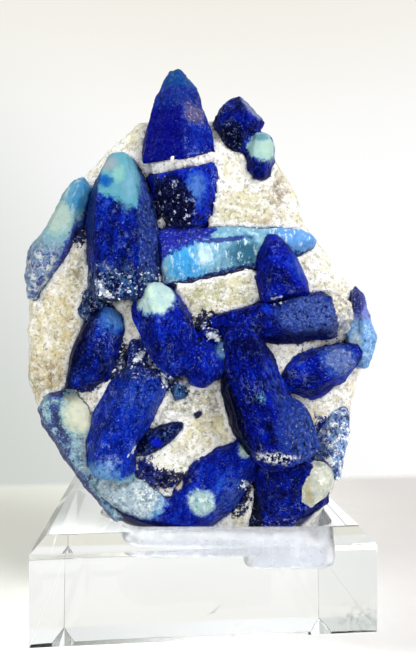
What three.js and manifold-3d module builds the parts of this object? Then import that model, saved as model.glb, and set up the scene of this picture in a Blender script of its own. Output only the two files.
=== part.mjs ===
// Afghanite crystals grown in white marble, standing in a milled pocket of a clear acrylic block.
//
// Millimetres, +Z up. The origin is the middle of the block's underside, +X runs to the right along the
// block's front edge and +Y towards its back. The stone stands turned a little on the block, so everything
// of the stone is given in the stone's own frame: x to the right along its face, y into the stone, z up
// from the block's underside.
import * as THREE from "three";
import { mergeVertices } from "three/addons/utils/BufferGeometryUtils.js";
import Module from "manifold-3d";

const wasm = await Module();
wasm.setup();

// The acrylic block: a 2 1/2 inch square of 3/4 inch sheet with bevelled top edges.
const BLOCK_SIDE = 63.5;
const BLOCK_HEIGHT = 19.05;
const BLOCK_BEVEL = 2.6;

// Where the stone stands on the block, and how far it is turned.
const STONE_PLACE = [0.4, -27.5, 0];
const STONE_TURN = -5.1;

// Clearance between a crystal and its socket, and between the stone's foot and the pocket.
const GAP = 0.3;

// The milled pocket: a shallow trough, with a deeper round-ended pocket on the right and a scoop on the
// left. Its cutter stands POCKET_OPEN above the pocket's floor, so the pocket is open at the top.
const POCKET_FRONT = 0.2;
const POCKET_BACK = 17.5;
const POCKET_OPEN = 20;
const TROUGH = { from: -17, to: 20, depth: 5.5, corner: 5, round: 1.6 };
const DEEP_POCKET = { from: 6.5, to: 24.2, depth: 7.8, corner: 4, round: 1.2 };
const SCOOP = { centre: [-9.5, 10.1], radii: [12.6, 8.2, 7.5] };

// The marble slab: its outline as seen from the front, going clockwise from the left of the peak.
const RIM = [
  [-11.8, 99.6], [-15, 97.8], [-19, 93.9], [-22.4, 90.8], [-25.8, 87.2], [-30.3, 80.4], [-34, 73],
  [-36.6, 66], [-36.9, 60], [-36.5, 54], [-36.4, 47], [-35.4, 41.4], [-32.4, 35.6], [-29.3, 30.6],
  [-26.1, 26],
  [-22.4, 21.6], [-19.4, 17.4], [-16, 12], [-4, 11.4], [8, 11.2], [20, 12.2], [22.4, 17.4], [25, 22],
  [26.2, 26], [27.4, 30.6], [28.6, 36], [29.6, 42], [31, 47], [33, 51], [33.6, 55.5], [32.2, 61],
  [28.6, 66], [25, 71.3], [21.6, 75.6], [19.2, 79.4], [17.8, 84], [15.4, 89], [11.4, 93.8], [7, 97.6],
  [1, 99], [-5.6, 100],
];
const SLAB_CENTRE = [-2, 55];
const SLAB_GRID = 11;
const SLAB_SIDE_ROWS = 4;
// Depths of the front face in its middle and at its edge, and of the back face at its edge and in its
// middle; how much the sides draw in towards both faces; how much thinner the slab is at its top; and its
// lumps, broad ones with fine ones on them.
const SLAB_DEPTHS = { front: 0.3, frontEdge: 4.2, backEdge: 16.5, back: 23.5 };
const SLAB_ROUNDING = 0.05;
const SLAB_THINNING = { share: 0.28, from: 40, to: 100 };
const SLAB_LUMPS = { height: 0.75, broad: 8, fine: 3 };
// Broken faces of the slab's sides and back: a point on each, and the way it faces.
const BREAKS = [
  { at: [-20, 19, 84], facing: [-0.42, 0.78, 0.46] },
  { at: [14, 17.5, 82], facing: [0.5, 0.78, 0.36] },
  { at: [26, 16, 50], facing: [0.72, 0.68, -0.1] },
  { at: [-31, 14.5, 46], facing: [-0.78, 0.6, -0.16] },
  { at: [-4, 21.6, 34], facing: [-0.1, 0.96, -0.24] },
  { at: [4, 21.8, 66], facing: [0.08, 0.98, 0.16] },
  { at: [-17, 17, 22], facing: [-0.5, 0.6, -0.6] },
];
// Deep blue, pale and grey-blue afghanite, marble, cream calcite and clear acrylic.
const BLUE = { color: 0x0b1a8c, roughness: 0.38 };
const NAVY = { color: 0x0a1160, roughness: 0.5 };
const PALE = { color: 0x8fbfcf, roughness: 0.4 };
const TEAL = { color: 0x6fb0c4, roughness: 0.3 };
const SLATE = { color: 0x4a5a8c, roughness: 0.55 };
const MARBLE = { color: 0xddd8c8, roughness: 0.75 };
const CREAM = { color: 0xe0dcb8, roughness: 0.35 };
const ACRYLIC = { color: 0xf4f7fa, roughness: 0.05, transparent: true, opacity: 0.35 };

// Each crystal runs from base to tip. A station is [share of the length, half width to the left, to the
// right] as the crystal points up; front and back are its half thickness; ridge is the angle of its first
// prism edge from the right; round goes from 0 for a sharp hexagon to 1 for a rod. lean tilts the base face
// and cut the top one: how far each rises to the right and to the front.
const CRYSTALS = {
  spear_tip: {
    base: [-5.6, 3.6, 90.3],
    tip: [-5.9, 5, 107.4],
    front: 6.6, back: 5.6, ridge: 84, round: 0.3, lean: [0.9, -3.2],
    stations: [[0, 7.5, 7], [0.12, 7.4, 6.8], [0.3, 6.7, 6.2], [0.5, 5.6, 5.2], [0.68, 4.4, 4.2],
      [0.82, 3.2, 3.1], [0.94, 1.9, 1.9]],
  },
  spear_foot: {
    base: [-4.3, 3, 75.6],
    tip: [-5.1, 3.6, 88.4],
    front: 6.2, back: 5.4, ridge: 70, round: 0.35, cut: [0.9, -2.7],
    stations: [[0, 3.7, 3.9], [0.16, 5, 5.6], [0.4, 5.8, 6.9], [0.66, 6.4, 7.5], [0.86, 7, 7.2],
      [1, 7.1, 6.7]],
  },
  corner_dark: {
    base: [6.3, 4, 90.6],
    tip: [5.7, 4.6, 102.4],
    front: 4.6, back: 4, ridge: 75, round: 0.3,
    stations: [[0, 1.6, 1.2], [0.12, 3, 1.9], [0.3, 4.3, 3.6], [0.49, 5.2, 5.3], [0.64, 5.1, 4],
      [0.79, 3.9, 2.6], [0.93, 2, 1.2]],
  },
  corner_mint: {
    base: [9.9, 3.2, 85.3],
    tip: [10.6, 4.4, 95.2],
    front: 3.6, back: 3.8, ridge: 60, round: 0.4,
    stations: [[0, 1.2, 1.1], [0.14, 2.4, 2.1], [0.42, 3.1, 2.8], [0.69, 2.8, 2.7], [0.87, 2.3, 2.1]],
  },
  left_prism: {
    base: [-16.1, 1.8, 61.8],
    tip: [-16.7, 3, 90.9],
    front: 7.4, back: 6.4, ridge: 64, round: 0.32,
    stations: [[0, 6.7, 7.2], [0.14, 7.3, 7.8], [0.35, 7.5, 7.7], [0.55, 7.6, 6.9], [0.72, 6.8, 5.8],
      [0.86, 4.9, 4.2], [0.95, 2.8, 2.5]],
  },
  left_stub: {
    base: [-21.4, 1.8, 57.4],
    tip: [-20.8, 2.6, 65.4],
    front: 3.8, back: 3.6, ridge: 40, round: 0.2,
    stations: [[0, 2.4, 1.8], [0.3, 3.8, 3.2], [0.7, 3.2, 3.4], [0.92, 2, 2]],
  },
  left_pale: {
    base: [-34.6, 3.8, 62.4],
    tip: [-24.3, 2.6, 86.2],
    front: 4, back: 4.2, ridge: 50, round: 0.25,
    stations: [[0, 0.9, 1], [0.13, 2.6, 2], [0.31, 4.2, 3.5], [0.48, 3.2, 4.6], [0.66, 2.3, 4],
      [0.82, 2, 3.2], [0.94, 1.3, 2.4]],
  },
  shelf_teal: {
    base: [-8.9, 3.2, 70.9],
    tip: [21.6, 4, 73.9],
    front: 5.6, back: 4.6, ridge: 90, round: 0.3,
    stations: [[0, 4.6, 6.6], [0.14, 5, 6.8], [0.36, 4.3, 5.7], [0.58, 3.6, 4.9], [0.76, 3.1, 3.8],
      [0.88, 2.4, 3], [0.96, 1.3, 1.6]],
  },
  right_bullet: {
    base: [14.8, 0.6, 62.2],
    tip: [12.1, 1.6, 74.9],
    front: 5.2, back: 4.4, ridge: 55, round: 0.6,
    stations: [[0, 4.9, 4.7], [0.2, 5.1, 5], [0.42, 4.8, 4.7], [0.62, 4.1, 3.8], [0.8, 3.1, 2.6],
      [0.93, 1.7, 1.3]],
  },
  mint_cap: {
    base: [-5.7, -0.2, 47.3],
    tip: [-10.5, 0.4, 65.5],
    front: 5.6, back: 4.6, ridge: 100, round: 0.55,
    stations: [[0, 1.8, 1.6], [0.1, 2.8, 3.5], [0.23, 3.9, 5], [0.41, 4.8, 5.7], [0.6, 5.2, 5.4],
      [0.78, 5.2, 4.5], [0.9, 4.1, 3.5], [0.97, 2.4, 2]],
  },
  round_lump: {
    base: [-1.6, 0.4, 45.6],
    tip: [-0.2, 0.2, 54],
    front: 4.6, back: 4, ridge: 20, round: 0.8,
    stations: [[0, 1.6, 1.8], [0.2, 3.2, 3.3], [0.5, 3.7, 3.8], [0.8, 3, 3.1], [0.94, 1.7, 1.7]],
  },
  pale_lump: {
    base: [2.1, 0.4, 47.2],
    tip: [2.9, 0.6, 55],
    front: 3.4, back: 3.2, ridge: 10, round: 0.7,
    stations: [[0, 1.3, 1], [0.25, 2, 1.8], [0.6, 2.1, 1.8], [0.88, 1.3, 1.2]],
  },
  middle_shard: {
    base: [-1.4, 0.8, 54.6],
    tip: [4.4, 0.8, 59.4],
    front: 2.4, back: 2.6, ridge: 35, round: 0.1,
    stations: [[0, 1, 1.4], [0.3, 2.2, 2.2], [0.65, 2, 2.1], [0.9, 1, 1]],
  },
  left_small: {
    base: [-24.5, 1.2, 45.3],
    tip: [-18.3, 1.8, 61.8],
    front: 4.8, back: 4.2, ridge: 70, round: 0.5, lean: [1.2, 0],
    stations: [[0, 2.7, 3.1], [0.12, 3.3, 4.4], [0.3, 4, 5.3], [0.47, 4.3, 5.3], [0.64, 4.1, 5],
      [0.79, 3.5, 4.3], [0.91, 2.3, 2.8]],
  },
  low_left: {
    base: [-19.5, 1, 29.2],
    tip: [-11.6, 1.2, 50],
    front: 5.6, back: 4.6, ridge: 50, round: 0.35,
    stations: [[0, 3.6, 6], [0.09, 4.6, 5.6], [0.22, 5.6, 4.6], [0.38, 6, 4.9], [0.54, 6, 5.2],
      [0.72, 5.5, 5.7], [0.88, 4.2, 6], [0.96, 2.6, 4.2]],
  },
  low_shard: {
    base: [-13.1, 0.6, 48.4],
    tip: [-14, 0.6, 54.6],
    front: 2.8, back: 2.6, ridge: 25, round: 0.1,
    stations: [[0, 2.4, 2.2], [0.35, 2.3, 2.1], [0.7, 1.7, 1.6], [0.92, 0.9, 0.9]],
  },
  great_prism: {
    base: [14.3, -0.6, 31.4],
    tip: [4.7, -0.8, 58.2],
    front: 7, back: 5.4, ridge: 78, round: 0.3,
    stations: [[0, 4.2, 6.8], [0.1, 5.4, 7.8], [0.23, 6.8, 7.9], [0.34, 7.4, 6.9], [0.43, 7.2, 5.2],
      [0.58, 6.8, 4.9], [0.7, 5.6, 5.1], [0.81, 4, 4.6], [0.94, 2.9, 2.6]],
  },
  cross_prism: {
    base: [0.2, 1.4, 57.2],
    tip: [27.2, 1.8, 58.8],
    front: 5.8, back: 4.6, ridge: 78, round: 0.15,
    stations: [[0, 1.8, 1.6], [0.2, 3.2, 2.7], [0.42, 4.4, 4.3], [0.62, 5.2, 4.6], [0.8, 5.6, 4.2],
      [0.94, 4.9, 3.3], [1, 3.4, 2.2]],
  },
  almond: {
    base: [14.4, 2, 45.8],
    tip: [29.7, 3.2, 52.9],
    front: 5, back: 4, ridge: 64, round: 0.45,
    stations: [[0, 1.9, 1.8], [0.09, 3.7, 3.1], [0.2, 4.6, 4.8], [0.34, 4.7, 5.4], [0.5, 4.3, 5.1],
      [0.66, 3.5, 4.6], [0.82, 2.5, 3.7], [0.94, 1.5, 2.4]],
  },
  rim_pale: {
    base: [30.2, 3.8, 48.9],
    tip: [28.8, 3.8, 65.2],
    front: 4.4, back: 5, ridge: 30, round: 0.15,
    stations: [[0, 1, 0.9], [0.2, 2.3, 2.3], [0.36, 3, 3.2], [0.5, 2.5, 2.4], [0.7, 1.3, 1.8],
      [0.88, 1.1, 1.3]],
  },
  foot_mottled: {
    base: [-6.6, 4.8, 19.9],
    tip: [-22.3, 3.2, 28.2],
    front: 4.8, back: 4.6, ridge: 60, round: 0.4,
    stations: [[0, 3.8, 2.4], [0.3, 5.2, 4.7], [0.48, 5.4, 5.6], [0.68, 4.4, 4], [0.88, 3.1, 2.2],
      [0.97, 1.8, 1.2]],
  },
  foot_left: {
    base: [-7.3, 5.2, 17],
    tip: [8.4, 1, 34],
    front: 5, back: 4.6, ridge: 70, round: 0.4,
    stations: [[0, 4, 3.9], [0.22, 5.8, 5], [0.36, 6.8, 5.5], [0.5, 7.3, 6], [0.66, 6.4, 5.4],
      [0.82, 5, 4.2], [0.95, 3.4, 2.8]],
  },
  foot_right: {
    base: [11.5, 5.4, 16.3],
    tip: [15.8, 1.8, 32.6],
    front: 5.2, back: 4.8, ridge: 58, round: 0.4,
    stations: [[0, 4.3, 4.2], [0.2, 5.3, 6], [0.38, 5.4, 8.2], [0.54, 5.8, 9.9], [0.74, 6.4, 9.6],
      [0.9, 6.2, 8.2], [1, 5.4, 6.4]],
  },
  pale_rim: {
    base: [-16, 4.4, 20.4],
    tip: [-31.4, 3.6, 43.8],
    front: 4.4, back: 4.6, ridge: 60, round: 0.3,
    stations: [[0, 3, 4.6], [0.2, 3.8, 6], [0.42, 4.3, 6.6], [0.64, 4.5, 7], [0.84, 4.4, 7.2],
      [0.95, 3.2, 5.8]],
  },
  speckled: {
    base: [24.5, 3, 27.6],
    tip: [26.7, 3, 41.8],
    front: 4.2, back: 4.6, ridge: 40, round: 0.2,
    stations: [[0, 3, 0.8], [0.25, 5, 1], [0.5, 5.4, 1.2], [0.72, 4.2, 1.2], [0.9, 2.2, 0.9]],
  },
  splinter: {
    base: [-12.8, 0.4, 33.2],
    tip: [-4.2, 0.4, 38.8],
    front: 1.9, back: 2.2, ridge: 60, round: 0.15,
    stations: [[0, 1.3, 1.1], [0.25, 2.2, 2], [0.6, 2.2, 2], [0.9, 1.2, 1]],
  },
  bud: {
    base: [-5.4, 0.4, 43.1],
    tip: [-5.6, 0.4, 46.4],
    front: 1.9, back: 2, ridge: 0, round: 0.1,
    stations: [[0, 0.9, 0.9], [0.3, 1.6, 1.6], [0.7, 1.6, 1.6], [1, 1, 1]],
  },
};
// The white calcite that heals the broken top crystal, between its two halves.
const SEAM = {
  base: [-4.9, 3.4, 86.2],
  tip: [-5.4, 3.6, 93],
  front: 5.8, back: 5.2, ridge: 84, round: 0.4,
  stations: [[0, 6.2, 6.1], [0.5, 6.4, 6.3], [1, 6.2, 6.1]],
};
const CALCITE_KNOB = { centre: [20.3, 0.4, 27.1], radii: [3, 3.4, 4.1], tilt: 28 };

// The pieces of the stone, from the ones that keep their whole form to the ones that grew around them.
// Crystals that grew through each other are one piece.
const PIECES = [
  { name: "crossed_pair_crystals", grown: ["great_prism", "cross_prism"], finish: BLUE },
  {
    name: "centre_cluster_crystals",
    grown: ["mint_cap", "round_lump", "pale_lump", "middle_shard"],
    finish: BLUE,
  },
  { name: "left_prism_crystal", grown: ["left_prism", "left_stub"], finish: NAVY },
  { name: "low_left_crystal", grown: ["low_left", "low_shard"], finish: BLUE },
  { name: "left_small_crystal", grown: ["left_small"], finish: NAVY },
  { name: "right_bullet_crystal", grown: ["right_bullet"], finish: BLUE },
  { name: "foot_right_crystal", grown: ["foot_right"], finish: NAVY },
  { name: "almond_crystal", grown: ["almond"], finish: BLUE },
  { name: "spear_tip_crystal", grown: ["spear_tip"], finish: BLUE },
  { name: "spear_foot_crystal", grown: ["spear_foot"], finish: NAVY },
  { name: "shelf_teal_crystal", grown: ["shelf_teal"], finish: TEAL },
  { name: "foot_left_crystals", grown: ["foot_left", "foot_mottled"], finish: BLUE },
  { name: "pale_rim_crystal", grown: ["pale_rim"], finish: PALE },
  { name: "left_pale_crystal", grown: ["left_pale"], finish: PALE },
  { name: "rim_pale_crystal", grown: ["rim_pale"], finish: PALE },
  { name: "speckled_crystal", grown: ["speckled"], finish: SLATE },
  { name: "corner_pair_crystals", grown: ["corner_dark", "corner_mint"], finish: NAVY },
  { name: "splinter_crystal", grown: ["splinter"], finish: NAVY },
  { name: "bud_crystal", grown: ["bud"], finish: SLATE },
];

// Crystals up to this roundness are plain hexagons.
const SHARP = 0.2;
const CRYSTAL_LUMPS = { height: 0.22, size: 3 };

const radians = THREE.MathUtils.degToRad;

// A closed geometry as a manifold-3d solid.
function toSolid(geometry) {
  const bare = geometry.clone();
  bare.deleteAttribute("normal");
  bare.deleteAttribute("uv");
  const merged = mergeVertices(bare, 1e-4);
  const triVerts = new Uint32Array(merged.index.array);
  const vertProperties = merged.attributes.position.array;
  return new wasm.Manifold(new wasm.Mesh({ numProp: 3, vertProperties, triVerts }));
}

// The largest body of a solid, as a three.js geometry with flat faces.
function toGeometry(solid) {
  const largest = solid.decompose().reduce((a, b) => (b.volume() > a.volume() ? b : a));
  const mesh = largest.getMesh();
  return new THREE.BufferGeometry()
    .setAttribute("position", new THREE.BufferAttribute(mesh.vertProperties, 3))
    .setIndex(new THREE.BufferAttribute(mesh.triVerts, 1))
    .toNonIndexed();
}

// Smooth lumps: a sum of waves with no common direction, from -1 to 1.
function lumps(x, y, z, size) {
  const [a, b, c] = [x / size, y / size, z / size];
  return (
    (Math.sin(2.1 * a + 1.3 * b + 0.4) * Math.cos(1.7 * c - 0.9 * a + 1.1) +
      Math.sin(3.3 * b - 1.9 * c + 2.2) * Math.cos(2.7 * a + 0.7 * b)) /
    2
  );
}

// The half widths of a crystal at a share t of its length, joined smoothly from station to station.
function widthsAt(stations, t) {
  let i = 0;
  while (i < stations.length - 2 && stations[i + 1][0] < t) i += 1;
  const [t0, l0, r0] = stations[i];
  const [t1, l1, r1] = stations[i + 1];
  const s = THREE.MathUtils.clamp((t - t0) / (t1 - t0), 0, 1);
  return [THREE.MathUtils.lerp(l0, l1, s), THREE.MathUtils.lerp(r0, r1, s)];
}

// The ring of a crystal seen along its length: corners 60 degrees apart, with a flatter point between each
// two on the side that shows unless the crystal is sharp-edged, scaled so that it just touches 1 on the
// right, in front, on the left and behind.
function crossSection(ridge, round) {
  const points = [];
  for (let i = 0; i < 12; i += 1) {
    const turn = radians(ridge - i * 30);
    const between = i % 2 === 1;
    const radius = between ? THREE.MathUtils.lerp(Math.cos(radians(30)), 1, round) : 1;
    const shows = round > SHARP && Math.sin(turn) > -0.1;
    if (!between || shows) points.push([radius * Math.cos(turn), radius * Math.sin(turn)]);
  }
  const reach = [0, 1].map((axis) => [-1, 1].map((sign) => Math.max(...points.map((p) => p[axis] * sign))));
  return points.map((p) => p.map((value, axis) => value / reach[axis][value > 0 ? 1 : 0]));
}

// One crystal: a lathe whose rings are moved onto the cross-section and the stations' half widths.
function crystalGeometry(spec, grow = 0) {
  const { stations, lean = [0, 0], cut = [0, 0] } = spec;
  const shares = [0, ...stations.map(([t]) => t), 1];
  const profile = shares.map((t, i) => new THREE.Vector2(i === 0 || i === shares.length - 1 ? 0 : 1, t));
  const section = crossSection(spec.ridge, spec.round);
  const geometry = new THREE.LatheGeometry(profile, section.length);
  const base = new THREE.Vector3(...spec.base);
  const along = new THREE.Vector3(...spec.tip).sub(base);
  const length = along.length();
  along.normalize();
  const side = new THREE.Vector3(0, 1, 0).cross(along).normalize();
  const towards = new THREE.Vector3().crossVectors(side, along);
  const widest = Math.max(...stations.map(([, left, right]) => (left + right) / 2));
  const position = geometry.attributes.position;
  const vertex = new THREE.Vector3();
  for (let i = 0; i < position.count; i += 1) {
    const ring = i % profile.length;
    const share = shares[ring];
    const corner = section[Math.floor(i / profile.length) % section.length];
    const [u, v] = profile[ring].x === 0 ? [0, 0] : corner;
    const [left, right] = widthsAt(stations, share);
    const thinning = Math.sqrt((left + right) / 2 / widest);
    const endPush = { 0: -grow, 1: grow }[share] ?? 0;
    const atBase = (1 - share) ** 3 * (lean[0] * u + lean[1] * v);
    const atTip = share ** 3 * (cut[0] * u + cut[1] * v);
    vertex
      .copy(base)
      .addScaledVector(along, share * length + endPush + atBase + atTip)
      .addScaledVector(side, u * ((u > 0 ? right : left) + grow))
      .addScaledVector(towards, v * ((v > 0 ? spec.front : spec.back) * thinning + grow));
    const bump = CRYSTAL_LUMPS.height * lumps(vertex.x, vertex.y, vertex.z, CRYSTAL_LUMPS.size);
    vertex.addScaledVector(side, u * bump).addScaledVector(towards, v * bump);
    position.setXYZ(i, vertex.x, vertex.y, vertex.z);
  }
  return geometry;
}

// How far the rim is from the slab's centre in the direction of a unit vector.
function rimDistance(dx, dz) {
  const [cx, cz] = SLAB_CENTRE;
  for (let i = 0; i < RIM.length; i += 1) {
    const [ax, az] = [RIM[i][0] - cx, RIM[i][1] - cz];
    const next = RIM[(i + 1) % RIM.length];
    const [ex, ez] = [next[0] - cx - ax, next[1] - cz - az];
    const cross = dx * ez - dz * ex;
    const distance = (ax * ez - az * ex) / cross;
    const share = (ax * dz - az * dx) / cross;
    if (distance > 0 && share >= 0 && share <= 1) return distance;
  }
  return 0;
}

// The marble slab: a box of square cells whose square rings are moved onto shrunken copies of the rim.
function slabGeometry() {
  const geometry = new THREE.BoxGeometry(2, 2, 2, SLAB_GRID, SLAB_SIDE_ROWS, SLAB_GRID);
  const position = geometry.attributes.position;
  const [cx, cz] = SLAB_CENTRE;
  const { front, frontEdge, backEdge, back } = SLAB_DEPTHS;
  for (let i = 0; i < position.count; i += 1) {
    const [u, w, v] = [position.getX(i), position.getY(i), position.getZ(i)];
    const ring = Math.max(Math.abs(u), Math.abs(v));
    const length = Math.hypot(u, v);
    const [dx, dz] = length > 0 ? [u / length, v / length] : [1, 0];
    const reach = ring * (1 - SLAB_ROUNDING * w ** 2) * rimDistance(dx, dz);
    const [x, z] = [cx + dx * reach, cz + dz * reach];
    let depth = THREE.MathUtils.lerp(frontEdge, backEdge, (w + 1) / 2);
    if (w <= -1) depth = front + (frontEdge - front) * ring ** 4;
    if (w >= 1) depth = back + (backEdge - back) * ring ** 2.5;
    const { share, from, to } = SLAB_THINNING;
    const thin = 1 - share * THREE.MathUtils.smoothstep(z, from, to);
    if (depth > frontEdge) depth = frontEdge + (depth - frontEdge) * thin;
    const { height, broad, fine } = SLAB_LUMPS;
    const bump = height * (lumps(x, depth, z, broad) + 0.6 * lumps(z, x, depth, fine));
    const outward = ring ** 3 * 0.6;
    position.setXYZ(i, x + dx * bump * outward, depth + w * bump, z + dz * bump * outward);
  }
  return geometry;
}

// A box that lies wholly on the outer side of a plane, to break a face off a solid.
function outerBox({ at, facing }) {
  const size = 160;
  const normal = new THREE.Vector3(...facing).normalize();
  const centre = new THREE.Vector3(...at).addScaledVector(normal, size / 2);
  const turn = new THREE.Quaternion().setFromUnitVectors(new THREE.Vector3(0, 0, 1), normal);
  return new THREE.BoxGeometry(size, size, size)
    .applyQuaternion(turn)
    .translate(centre.x, centre.y, centre.z);
}

// A box of rounded corners and floor, standing open at the block's top: the shape of a milling cutter's
// path.
function pocketGeometry({ from, to, depth, corner, round }, shrink) {
  const [x0, x1] = [from + shrink + round, to - shrink - round];
  const [y0, y1] = [POCKET_FRONT + shrink + round, POCKET_BACK - shrink - round];
  const r = corner - round;
  const shape = new THREE.Shape()
    .moveTo(x0 + r, y0)
    .lineTo(x1 - r, y0)
    .absarc(x1 - r, y0 + r, r, -Math.PI / 2, 0, false)
    .lineTo(x1, y1 - r)
    .absarc(x1 - r, y1 - r, r, 0, Math.PI / 2, false)
    .lineTo(x0 + r, y1)
    .absarc(x0 + r, y1 - r, r, Math.PI / 2, Math.PI, false)
    .lineTo(x0, y0 + r)
    .absarc(x0 + r, y0 + r, r, Math.PI, Math.PI * 1.5, false);
  const bottom = BLOCK_HEIGHT - depth + shrink;
  return new THREE.ExtrudeGeometry(shape, {
    depth: POCKET_OPEN, bevelThickness: round, bevelSize: round, bevelSegments: 2, curveSegments: 3,
  }).translate(0, 0, bottom + round);
}

function pocketSolid(shrink = 0) {
  const [cx, cy] = SCOOP.centre;
  const [rx, ry, rz] = SCOOP.radii;
  const scoop = new THREE.SphereGeometry(1, 18, 10)
    .scale(rx - shrink, rz - shrink, ry - shrink)
    .rotateX(Math.PI / 2)
    .translate(cx, cy, BLOCK_HEIGHT);
  return toSolid(pocketGeometry(TROUGH, shrink))
    .add(toSolid(pocketGeometry(DEEP_POCKET, shrink)))
    .add(toSolid(scoop));
}

// The block: a square lathe of four sides, with its bevel at the top.
function blockGeometry(grow = 0) {
  const corner = (BLOCK_SIDE / 2 + grow) * Math.SQRT2;
  const inner = (BLOCK_SIDE / 2 - BLOCK_BEVEL + grow) * Math.SQRT2;
  const profile = [
    new THREE.Vector2(0, 0),
    new THREE.Vector2(corner, 0),
    new THREE.Vector2(corner, BLOCK_HEIGHT - BLOCK_BEVEL + grow),
    new THREE.Vector2(inner, BLOCK_HEIGHT + grow),
    new THREE.Vector2(0, BLOCK_HEIGHT + grow),
  ];
  return new THREE.LatheGeometry(profile, 4).rotateY(Math.PI / 4).rotateX(Math.PI / 2);
}

const specimen = new THREE.Group();
specimen.position.set(...STONE_PLACE);
specimen.rotation.z = radians(STONE_TURN);
specimen.updateMatrixWorld(true);

function namedMesh(name, geometry, finish) {
  const material = new THREE.MeshStandardMaterial({ metalness: 0, flatShading: true, ...finish });
  const mesh = new THREE.Mesh(geometry, material);
  mesh.name = name;
  return mesh;
}

// What the stone stays out of: the block in the stone's frame, grown by the gap, with a pocket smaller by
// it.
const toStone = specimen.matrixWorld.clone().invert();
const keepOut = toSolid(blockGeometry(GAP).applyMatrix4(toStone)).subtract(pocketSolid(GAP));

function together(names, grow) {
  return names.map((name) => toSolid(crystalGeometry(CRYSTALS[name], grow))).reduce((a, b) => a.add(b));
}

function knobSolid(grow = 0) {
  const [rx, ry, rz] = CALCITE_KNOB.radii.map((r) => r + grow);
  const geometry = new THREE.IcosahedronGeometry(1, 2).scale(rx, ry, rz).rotateY(radians(CALCITE_KNOB.tilt));
  return toSolid(geometry.translate(...CALCITE_KNOB.centre));
}

// Each piece leaves its socket, a gap wider than itself, in all the pieces after it and in the marble.
let taken = knobSolid(GAP);
specimen.add(namedMesh("calcite_knob", toGeometry(knobSolid()), CREAM));
for (const { name, grown, finish } of PIECES) {
  const piece = together(grown, 0).subtract(taken).subtract(keepOut);
  specimen.add(namedMesh(name, toGeometry(piece), finish));
  taken = taken.add(together(grown, GAP));
}

let marble = toSolid(slabGeometry());
for (const plane of BREAKS) {
  marble = marble.subtract(toSolid(outerBox(plane)));
}
marble = marble.add(toSolid(crystalGeometry(SEAM))).subtract(taken).subtract(keepOut);
specimen.add(namedMesh("marble_matrix", toGeometry(marble), MARBLE));

const cutter = pocketSolid().transform(specimen.matrixWorld.elements);
const part = new THREE.Group();
part.add(namedMesh("acrylic_block", toGeometry(toSolid(blockGeometry()).subtract(cutter)), ACRYLIC));
part.add(specimen);

export default part;
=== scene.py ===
import itertools
import math

import bpy
import numpy as np
from mathutils import Matrix, Vector
from mathutils.bvhtree import BVHTree


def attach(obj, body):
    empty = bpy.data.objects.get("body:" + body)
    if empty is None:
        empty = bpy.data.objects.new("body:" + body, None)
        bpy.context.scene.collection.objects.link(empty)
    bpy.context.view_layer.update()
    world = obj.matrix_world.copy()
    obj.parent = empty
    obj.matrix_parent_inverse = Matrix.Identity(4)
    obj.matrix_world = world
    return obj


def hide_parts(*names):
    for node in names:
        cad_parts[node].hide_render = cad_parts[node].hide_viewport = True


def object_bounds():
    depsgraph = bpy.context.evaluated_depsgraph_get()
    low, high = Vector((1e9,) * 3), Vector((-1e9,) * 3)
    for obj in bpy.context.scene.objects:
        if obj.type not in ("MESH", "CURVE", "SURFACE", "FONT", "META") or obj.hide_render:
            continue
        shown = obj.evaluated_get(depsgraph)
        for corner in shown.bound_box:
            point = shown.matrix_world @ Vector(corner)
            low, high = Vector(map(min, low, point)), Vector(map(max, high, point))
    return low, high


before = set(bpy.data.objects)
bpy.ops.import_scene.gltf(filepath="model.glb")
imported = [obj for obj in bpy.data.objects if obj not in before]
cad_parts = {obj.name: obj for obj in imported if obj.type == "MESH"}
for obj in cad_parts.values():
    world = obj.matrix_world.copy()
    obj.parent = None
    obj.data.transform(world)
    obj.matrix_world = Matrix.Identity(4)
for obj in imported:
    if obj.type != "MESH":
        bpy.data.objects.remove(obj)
cad_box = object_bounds()
bpy.ops.object.select_all(action="DESELECT")
MM = 0.001

# ---- Camera, floor and light ---------------------------------------
# The specimen is looked at straight from the front, a hand's breadth away, at the height of its middle.
# It stands on a white shelf in a pale studio: even light all round, a large soft lamp at the upper right.
# The shelf fades out a little way behind the block, and the studio's wall begins.

CAMERA_PLACE = (-9.3 * MM, -136.3 * MM, 55.6 * MM)
CAMERA_TILT = 90.35
CAMERA_TURN = -5.1
SENSOR = 36
PICTURE_HEIGHT = 660
PICTURE_DISTANCE = 577
FOCAL_LENGTH = SENSOR * PICTURE_DISTANCE / PICTURE_HEIGHT

camera = bpy.data.objects.new("camera", bpy.data.cameras.new("camera"))
bpy.context.scene.collection.objects.link(camera)
camera.location = CAMERA_PLACE
camera.rotation_euler = (math.radians(CAMERA_TILT), 0, math.radians(CAMERA_TURN))
camera.data.sensor_width = SENSOR
camera.data.lens = FOCAL_LENGTH
camera.data.clip_start = 5 * MM
bpy.context.scene.camera = camera
bpy.context.scene.view_settings.view_transform = "Standard"


def shade(code):
    """A colour written as six hex digits, in the linear values that shaders take."""
    channels = [int(code[i:i + 2], 16) / 255 for i in (0, 2, 4)]
    linear = [c / 12.92 if c <= 0.04045 else ((c + 0.055) / 1.055) ** 2.4 for c in channels]
    return (*linear, 1)


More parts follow.
